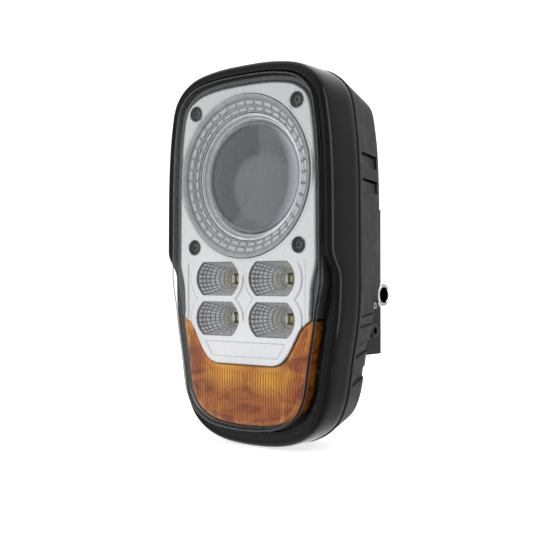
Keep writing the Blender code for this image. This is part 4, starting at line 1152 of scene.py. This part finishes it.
def housing():
    """Satin shell behind the ridge, with its louvres, cooling fins, ears and fixing pockets."""
    def inset_back(more_y, more):
        return lambda z: taper_inset(back_y(z) + more_y) + more

    depth_back = raised(back_y)
    lip = [ring(0.35, RIDGE_Y), ring(0.02, RIDGE_Y + 0.1), ring(-0.15, RIDGE_Y + 0.45),
           ring(-0.2, RIDGE_Y + 1.0), ring(-0.08, RIDGE_Y + 1.8), ring(0.25, RIDGE_Y + 2.8),
           ring(0.75, RIDGE_Y + 4.4)]
    skirt = [ring(lambda z, f=f: taper_inset(41.5 + (back_y(z) - 44.5) * f),
                  lambda z, f=f: 41.5 + (back_y(z) - 44.5) * f) for f in (0.2, 0.4, 0.6, 0.8, 1.0)]
    heel = [ring(inset_back(-1.9, 0.15), depth_back(-1.9)), ring(inset_back(-1.0, 0.7), depth_back(-1.0)),
            ring(inset_back(-0.4, 1.5), depth_back(-0.35)), ring(inset_back(0, 2.6), depth_back(0)),
            ring(17.6, depth_back(0)), ring(18.0, depth_back(-0.5)), ring(18.6, FLOOR_Y)]
    cavity = [ring(13.0, CAVITY_Y), ring(10.6, CAVITY_Y - 2.5), ring(7.2, RIDGE_Y), ring(7.2, NECK_Y),
              ring(3.9, NECK_Y), ring(3.9, RIDGE_Y)]
    steps = []
    for side in (-1, 1):
        for z, rise in UPPER_SLOTS:
            steps.append((CUT, flank_cut(side, z, rise, 1.7, 5.0, 43.5, 79)))
            steps.append((CUT, flank_cut(side, z - 4.4, rise, 7.4, 0.9, 41.5, 79)))
        for z, rise in LOWER_SLOTS:
            steps.append((CUT, flank_cut(side, z, rise, 1.9, 5.0, 43.5, 96)))
            steps.append((CUT, flank_cut(side, z - 4.4, rise, 7.4, 1.8, 41.5, 96)))
    for i in range(7):
        x = 13.0 * (i - 3)
        top = 112 - 0.006 * x * x
        steps.append((JOIN, block((x - 1.1, x + 1.1), (FLOOR_Y - 2, BACK_Y_UPPER - 1), (52, top), edge=0.4)))
    for z in (40, 10):
        steps.append((JOIN, block((-48, 48), (FLOOR_Y - 2, FLOOR_Y + 2.6), (z - 1, z + 1), edge=0.4)))
    for side in (-1, 1):
        low, high = sorted((side * LUG_X[0], side * LUG_X[1]))
        middle, width = (low + high) / 2, high - low
        steps += [
            (JOIN, block((low, high), (FLOOR_Y - 2, PIVOT.y), (LOCK[1] - 7.5, PIVOT.z + 10), edge=0.5)),
            (JOIN, rod(X_AXIS, (middle, PIVOT.y, PIVOT.z), 12.6, width - 0.2)),
            (JOIN, rod(X_AXIS, (middle, *LOCK), 7.4, width - 0.4)),
            (CUT, rod(X_AXIS, (side * 43.1, PIVOT.y, PIVOT.z), 10.2, 10)),
            (CUT, rod(X_AXIS, (side * 43.1, *LOCK), 3.3, 10)),
            (CUT, rod(X_AXIS, (side * 60, PIVOT.y, PIVOT.z), SLEEVE_R + 1.0, 16)),
            (CUT, block((side * 60.2 - 7.7, side * 60.2 + 7.7), (77, 92), (-53, -39.5), edge=1.0)),
        ]
    steps += [
        (CUT, block((-14.3, 14.3), (60, 70), (SOCKET_Z[0] - 1.3, SOCKET_Z[1] + 1.3))),
        (CUT, rod(Y_AXIS, (VENT[0], 65, VENT[1]), 4.3, 12)),
        (CUT, rod(X_AXIS, (58, *EARTH), 1.7, 12)),
        (CUT, rod(X_AXIS, (65, *EARTH), 4.0, 10.4)),
    ]
    bm = carved(loft(cavity + lip + skirt + heel), steps)
    piece("housing", bm, "satin_black", stands_for=["rear_housing"], sharp=32)


def connector():
    """Plug socket on the back: flanged oval shroud with ribs, a latch and its cavity."""
    z_low, z_high = SOCKET_Z
    mouth = rounded([(-13, z_low), (13, z_low), (13, z_high), (-13, z_high)], 3.0)
    hollow = rounded([(-11.6, z_low + 1.4), (11.6, z_low + 1.4), (11.6, z_high - 1.4),
                      (-11.6, z_high - 1.4)], 2.2)
    flange = rounded([(-17, -50), (17, -50), (17, -30), (-17, -30)], 3.5)
    steps = [(JOIN, prism_y(mouth, 63.0, 86)), (CUT, prism_y(hollow, 70.5, 90)),
             (JOIN, block((-3.2, 3.2), (76, 82), (z_high - 0.6, z_high + 1.6), edge=0.4))]
    for x in (-8, 8):
        steps.append((JOIN, block((x - 0.7, x + 0.7), (70, 85), (z_high - 0.4, z_high + 0.7), edge=0.2)))
        steps.append((JOIN, block((x - 0.7, x + 0.7), (70, 85), (z_low - 0.7, z_low + 0.4), edge=0.2)))
    terminals = [(5.2 * (i - 1.5), z) for i in range(4) for z in (-42.2, -37.8)]
    steps += [(CUT, block((x - 0.9, x + 0.9), (60, 72), (z - 0.6, z + 0.6))) for x, z in terminals]
    steps += [(CUT, rod(Y_AXIS, (x, FLOOR_Y + 3.3, -40), 1.5, 1.6)) for x in (-15, 15)]
    piece("plug_socket", carved(prism_y(flange, FLOOR_Y + 1.5, FLOOR_Y + 3.5), steps), "satin_black",
          stands_for=["connector_socket"], bevel=0.2)


def vent():
    """Breather: a low rubber cap with a notched skirt."""
    x, z = VENT
    cap = [(0.0, 71.1), (3.6, 71.1), (4.6, 70.8), (5.7, 70.1), (6.3, 69.4), (6.4, 68.0), (3.9, 67.9),
           (3.9, 63.3), (0.0, 63.3)]
    steps = [(CUT, block((x - 8, x + 8), (67.0, 69.0), (z - 0.6, z + 0.6),
                         Matrix.Rotation(math.radians(30 * i), 4, "Y"))) for i in range(6)]
    core = [(0.0, 63.4), (3.9, 63.4), (4.4, 69.4), (0.0, 69.6)]
    steps.append((JOIN, lathe(core, (x, 0, z), 48)))
    piece("breather_cap", carved(lathe(cap, (x, 0, z), 72), steps), "rubber",
          stands_for=["breather_vent"])


# ---------------------------------------------------------------- bracket and pivot
def arc(radius, centre, start, turn, steps=12):
    return [(centre[0] + radius * math.cos(start + turn * i / steps),
             centre[1] + radius * math.sin(start + turn * i / steps)) for i in range(steps + 1)]


def lock_slot():
    """Round-ended slot about the pivot, as long as the lock screw travels at full tilt."""
    pivot = (PIVOT.y, PIVOT.z)
    reach = math.hypot(LOCK[0] - pivot[0], LOCK[1] - pivot[1])
    middle = math.atan2(LOCK[1] - pivot[1], LOCK[0] - pivot[0])
    half = LOCK_SWEEP
    first, last = (arc(reach, pivot, middle + turn, 0, 1)[0] for turn in (half, -half))
    outline = arc(reach + LOCK_SLOT / 2, pivot, middle - half, 2 * half)
    outline += arc(LOCK_SLOT / 2, first, middle + half, math.pi)[1:-1]
    outline += arc(reach - LOCK_SLOT / 2, pivot, middle + half, -2 * half)
    outline += arc(LOCK_SLOT / 2, last, middle - half + math.pi, math.pi)[1:-1]
    return outline


def bracket():
    """Pressed steel bracket: a web and two cheeks with bent corners, holes and stiffening beads."""
    back_y_face = 104.0
    reach = CHEEK_X
    outer = rounded([(-reach, 60), (-reach, back_y_face), (reach, back_y_face), (reach, 60)], 2.2, 8)
    inner = rounded([(reach - PLATE, 60), (reach - PLATE, back_y_face - PLATE),
                     (-reach + PLATE, back_y_face - PLATE), (-reach + PLATE, 60)], 0.8, 8)
    channel = loft([[(x, y, z) for x, y in outer + inner] for z in (-64, 43)])
    cheek = rounded([(110, 43), (95, 43), (76.5, 4), (76, -44), (79, -64), (110, -64)], 5.0, 8)
    window = rounded([(-22, -52), (22, -52), (22, -24), (-22, -24)], 4.0)
    steps = [(KEEP, prism_x(cheek, -60, 60)),
             (CUT, rod(X_AXIS, (0, PIVOT.y, PIVOT.z), SLEEVE_R + 0.4, 150, 64)),
             (CUT, prism_y(window, 95, 110)), (CUT, prism_x(lock_slot(), -60, 60))]
    for x in (-33, 33):
        steps += [(CUT, rod(Y_AXIS, (x, back_y_face, z), 4.5, 12)) for z in (26, -52)]
        steps.append((JOIN, block((x * 0.42 - 2, x * 0.42 + 2), (100.1, 101.6), (-14, 34), edge=0.7)))
    piece("bracket", carved(channel, steps), "bracket_black", body="bracket",
          stands_for=["mount_bracket"], sharp=30, bevel=0.3)


def pivot():
    """Chrome sleeve, its retaining rings and the bushes in the ears."""
    along = [(SLEEVE_BORE_R + 0.7, SLEEVE_HALF), (SLEEVE_R - 0.9, SLEEVE_HALF),
             (SLEEVE_R - 0.35, SLEEVE_HALF - 0.2), (SLEEVE_R, SLEEVE_HALF - 0.8)]
    bore = [(SLEEVE_BORE_R, SLEEVE_HALF - 0.9), (SLEEVE_BORE_R + 0.2, SLEEVE_HALF - 0.3)]
    profile = along + [(r, -a) for r, a in reversed(along)]
    profile += [(r, -a) for r, a in reversed(bore)] + bore
    sleeve = lathe(profile, PIVOT, 96, axis="X")
    # The bore wall is marked, and the sleeve's material paints it dark: painted shade.
    bore_shade_mask = [float(math.hypot(vert.co.y - PIVOT.y, vert.co.z - PIVOT.z) < SLEEVE_BORE_R + 0.05)
                 for vert in sleeve.verts]
    piece("sleeve", marked(sleeve, bore_shade_mask), "chrome_painted_bore_shade", body="bracket",
          stands_for=["pivot_sleeve"], sharp=40)
    for name, side in SIDES:
        at = Vector((side * (CHEEK_X + 0.9), PIVOT.y, PIVOT.z))
        clip = [(SLEEVE_R + 0.15, 0.4), (SLEEVE_R + 0.3, 0.5), (10.5, 0.5), (10.6, 0.4), (10.6, -0.4),
                (10.5, -0.5), (SLEEVE_R + 0.3, -0.5), (SLEEVE_R + 0.15, -0.4)]
        piece("retaining_ring_" + name, lathe(clip, at, 72, axis="X", arc=0.92), "steel",
              body="bracket", stands_for=["sleeve_clip_" + name])
        at = Vector((side * 43.1, PIVOT.y, PIVOT.z))
        bush = [(SLEEVE_R + 0.2, 3.3), (SLEEVE_R + 0.5, 3.6), (9.6, 3.6), (9.9, 3.3), (9.9, -3.3),
                (9.6, -3.6), (SLEEVE_R + 0.5, -3.6), (SLEEVE_R + 0.2, -3.3)]
        piece("bush_" + name, lathe(bush, at, 72, axis="X"), "nylon",
              stands_for=["pivot_bush_" + name])


def side_fixings():
    """Tilt lock screws with knurled socket heads and washers, and the earthing screw."""
    for name, side in SIDES:
        def spun(profile, along, steps=72, turn=side):
            return lathe([(r, a * turn) for r, a in profile], (along, *LOCK), steps, axis="X")

        x = side * CHEEK_X
        head = [(0.0, 5.5), (4.1, 5.5), (4.6, 5.3), (4.95, 4.8), (5.0, 1.9), (2.9, 1.9), (2.9, -10.2),
                (0.0, -10.4)]
        low, high = sorted((x + side * 3.2, x + side * 7))
        steps = [(CUT, prism_x(circle(LOCK, 2.6, 6), low, high))]
        steps += [(CUT, rod(X_AXIS, (x + side * 3.4, y, z), 0.32, 2.6, 8))
                  for y, z in circle(LOCK, 5.15, 30)]
        piece("tilt_lock_" + name, carved(spun(head, x), steps), "black_steel",
              stands_for=["lock_screw_" + name])
        washer = [(3.2, 0.4), (3.2, 1.4), (6.3, 1.5), (6.6, 1.2), (6.6, 0.4), (6.4, 0.3)]
        piece("tilt_washer_" + name, spun(washer, x), "black_steel",
              stands_for=["lock_washer_" + name])
    profile = [(0.0, 63.1), (2.1, 63.05), (2.6, 62.8), (3.3, 60.6), (3.4, 60.1), (1.4, 60.1),
               (1.4, 55.7), (0.0, 55.7)]
    head = lathe(profile, (0, *EARTH), 64, axis="X")
    y, z = EARTH
    steps = [(CUT, block((62.0, 64), (y - 1.7, y + 1.7), (z - 0.35, z + 0.35))),
             (CUT, block((62.0, 64), (y - 0.35, y + 0.35), (z - 1.7, z + 1.7)))]
    piece("earthing_screw", carved(head, steps), "steel", stands_for=["earth_screw"])


def carried_over():
    """Finishes for the CAD nodes that stay, most of them inside the head."""
    finishes = {
        "rubber": ["lens_gasket", "connector_seal"], "brass": ["terminal_block"],
        "aluminium": ["projector_holder", "low_beam_heatsink", "high_beam_heatsink"],
        "mirror_grey": ["projector_bowl"], "black_steel": ["cutoff_shield"],
        "board_white": ["ring_board", "low_beam_board", "high_beam_board", "indicator_board"],
        "dark_grey": ["carrier_frame"], "board_green": ["driver_board"],
        "steel": [n for n in NODES if n.startswith(("carrier_screw", "board_screw"))],
        "wire_red": ["wire_ring_light"], "wire_yellow": ["wire_low_beam"],
        "wire_black": ["wire_indicator"],
    }
    for look, names in finishes.items():
        for name in names:
            node = NODES[name]
            node.data.materials.clear()
            node.data.materials.append(MATERIALS[look])
            if look in ("aluminium", "brass", "dark_grey"):
                round_edges(node, 0.2, 50)


# ---------------------------------------------------------------- stage, light and camera
def studio_surface():
    """Pale floor that curves up into a round backdrop."""
    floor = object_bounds()[0].z / MM - ORIGIN.z - 0.4
    profile = [(r, floor) for r in (300, 900, FLOOR_REACH)]
    profile += [(FLOOR_REACH + FLOOR_CURVE * math.sin(t), floor + FLOOR_CURVE * (1 - math.cos(t)))
                for t in (math.pi / 2 * i / 16 for i in range(1, 17))]
    profile.append((FLOOR_REACH + FLOOR_CURVE, floor + 3500))
    bm = bmesh.new()
    rings = [[bm.verts.new((x, y, height)) for x, y in circle((0, 0), radius, 96)]
             for radius, height in profile]
    for first, second in zip(rings, rings[1:]):
        for i in range(96):
            j = (i + 1) % 96
            bm.faces.new((first[i], first[j], second[j], second[i]))
    bm.faces.new(rings[0])
    look = Look("backdrop")
    tone = look.mix(look.noise(3.0), (0.90, 0.90, 0.90, 1), (0.93, 0.93, 0.93, 1))
    look.set(Base_Color=tone, Roughness=0.9, Specular_IOR_Level=0.0, Emission_Color=(1, 1, 1, 1),
             Emission_Strength=0.72)
    backdrop = placed("backdrop", bm, look.material)
    backdrop.visible_glossy = False
    backdrop.visible_diffuse = False
    backdrop.visible_shadow = False
    backdrop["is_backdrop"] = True


def world():
    """White room for the camera; for the object, a room that is bright to the left and dimmer to the right.
    """
    sky = bpy.data.worlds.new("studio")
    bpy.context.scene.world = sky
    sky.use_nodes = True
    tree = sky.node_tree
    background = tree.nodes["Background"]
    background.inputs["Color"].default_value = (1.0, 1.0, 1.0, 1.0)
    where = tree.nodes.new("ShaderNodeTexCoord")
    split = tree.nodes.new("ShaderNodeSeparateXYZ")
    tree.links.new(where.outputs["Generated"], split.inputs[0])
    level = tree.nodes.new("ShaderNodeMapRange")
    level.interpolation_type = "SMOOTHSTEP"
    tree.links.new(split.outputs["X"], level.inputs["Value"])
    for key, value in (("From Min", -0.3), ("From Max", 0.8), ("To Min", 0.95), ("To Max", 0.40)):
        level.inputs[key].default_value = value
    ray = tree.nodes.new("ShaderNodeLightPath")
    choose = tree.nodes.new("ShaderNodeMix")
    tree.links.new(ray.outputs["Is Camera Ray"], choose.inputs[0])
    tree.links.new(level.outputs[0], choose.inputs[2])
    choose.inputs[3].default_value = 1.0
    tree.links.new(choose.outputs[0], background.inputs["Strength"])


def lamp(name, towards, distance, size, power, mirrored_in=False):
    """A soft area light that faces the middle of the object from a direction."""
    low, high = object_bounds()
    centre = (low + high) / 2
    data = bpy.data.lights.new(name, "AREA")
    data.shape = "RECTANGLE"
    data.size, data.size_y = size
    data.energy = power
    light = bpy.data.objects.new(name, data)
    direction = Vector(towards).normalized()
    light.location = centre + direction * distance
    light.rotation_euler = direction.to_track_quat("Z", "Y").to_euler()
    light.visible_camera = False
    light.visible_glossy = mirrored_in
    bpy.context.scene.collection.objects.link(light)


CAMERA_TURN = math.radians(37.963)
CAMERA_TILT = math.radians(-0.903)
CAMERA_DISTANCE = 0.6456
CAMERA_SHIFT = 0.017351
CAMERA_LENS = 62.97


def camera():
    """Eye-level view from 38 degrees to the right of the lamp's front."""
    turn, tilt = CAMERA_TURN, CAMERA_TILT
    back = Vector((math.sin(turn) * math.cos(tilt), -math.cos(turn) * math.cos(tilt), math.sin(tilt)))
    right = Vector((math.cos(turn), math.sin(turn), 0))
    data = bpy.data.cameras.new("camera")
    data.lens = CAMERA_LENS
    data.sensor_width = 36
    eye = bpy.data.objects.new("camera", data)
    eye.location = back * CAMERA_DISTANCE + right * CAMERA_SHIFT + ORIGIN * MM
    eye.rotation_euler = back.to_track_quat("Z", "Y").to_euler()
    bpy.context.scene.collection.objects.link(eye)
    bpy.context.scene.camera = eye


clear_cover()
front_bezel()
inner_border()
silver_plate()
trim_fixings()
light_ring()
projector_front()
for corner, centre in CUP_CENTRES.items():
    reflector(corner, centre)
emitters()
amber_optic()
housing()
connector()
vent()
bracket()
pivot()
side_fixings()
carried_over()
studio_surface()
world()
lamp("key", (-0.75, -1.0, 0.55), 1.5, (1.6, 1.6), 5)
lamp("front_fill", (0.35, -1.0, 0.15), 1.6, (1.2, 1.4), 3)
lamp("side_strip", (1.0, 0.62, 0.25), 1.3, (0.35, 1.5), 3.5, mirrored_in=True)
lamp("top", (0.1, 0.1, 1.0), 1.3, (1.4, 1.4), 7)
camera()
bpy.context.scene.view_settings.view_transform = "Standard"
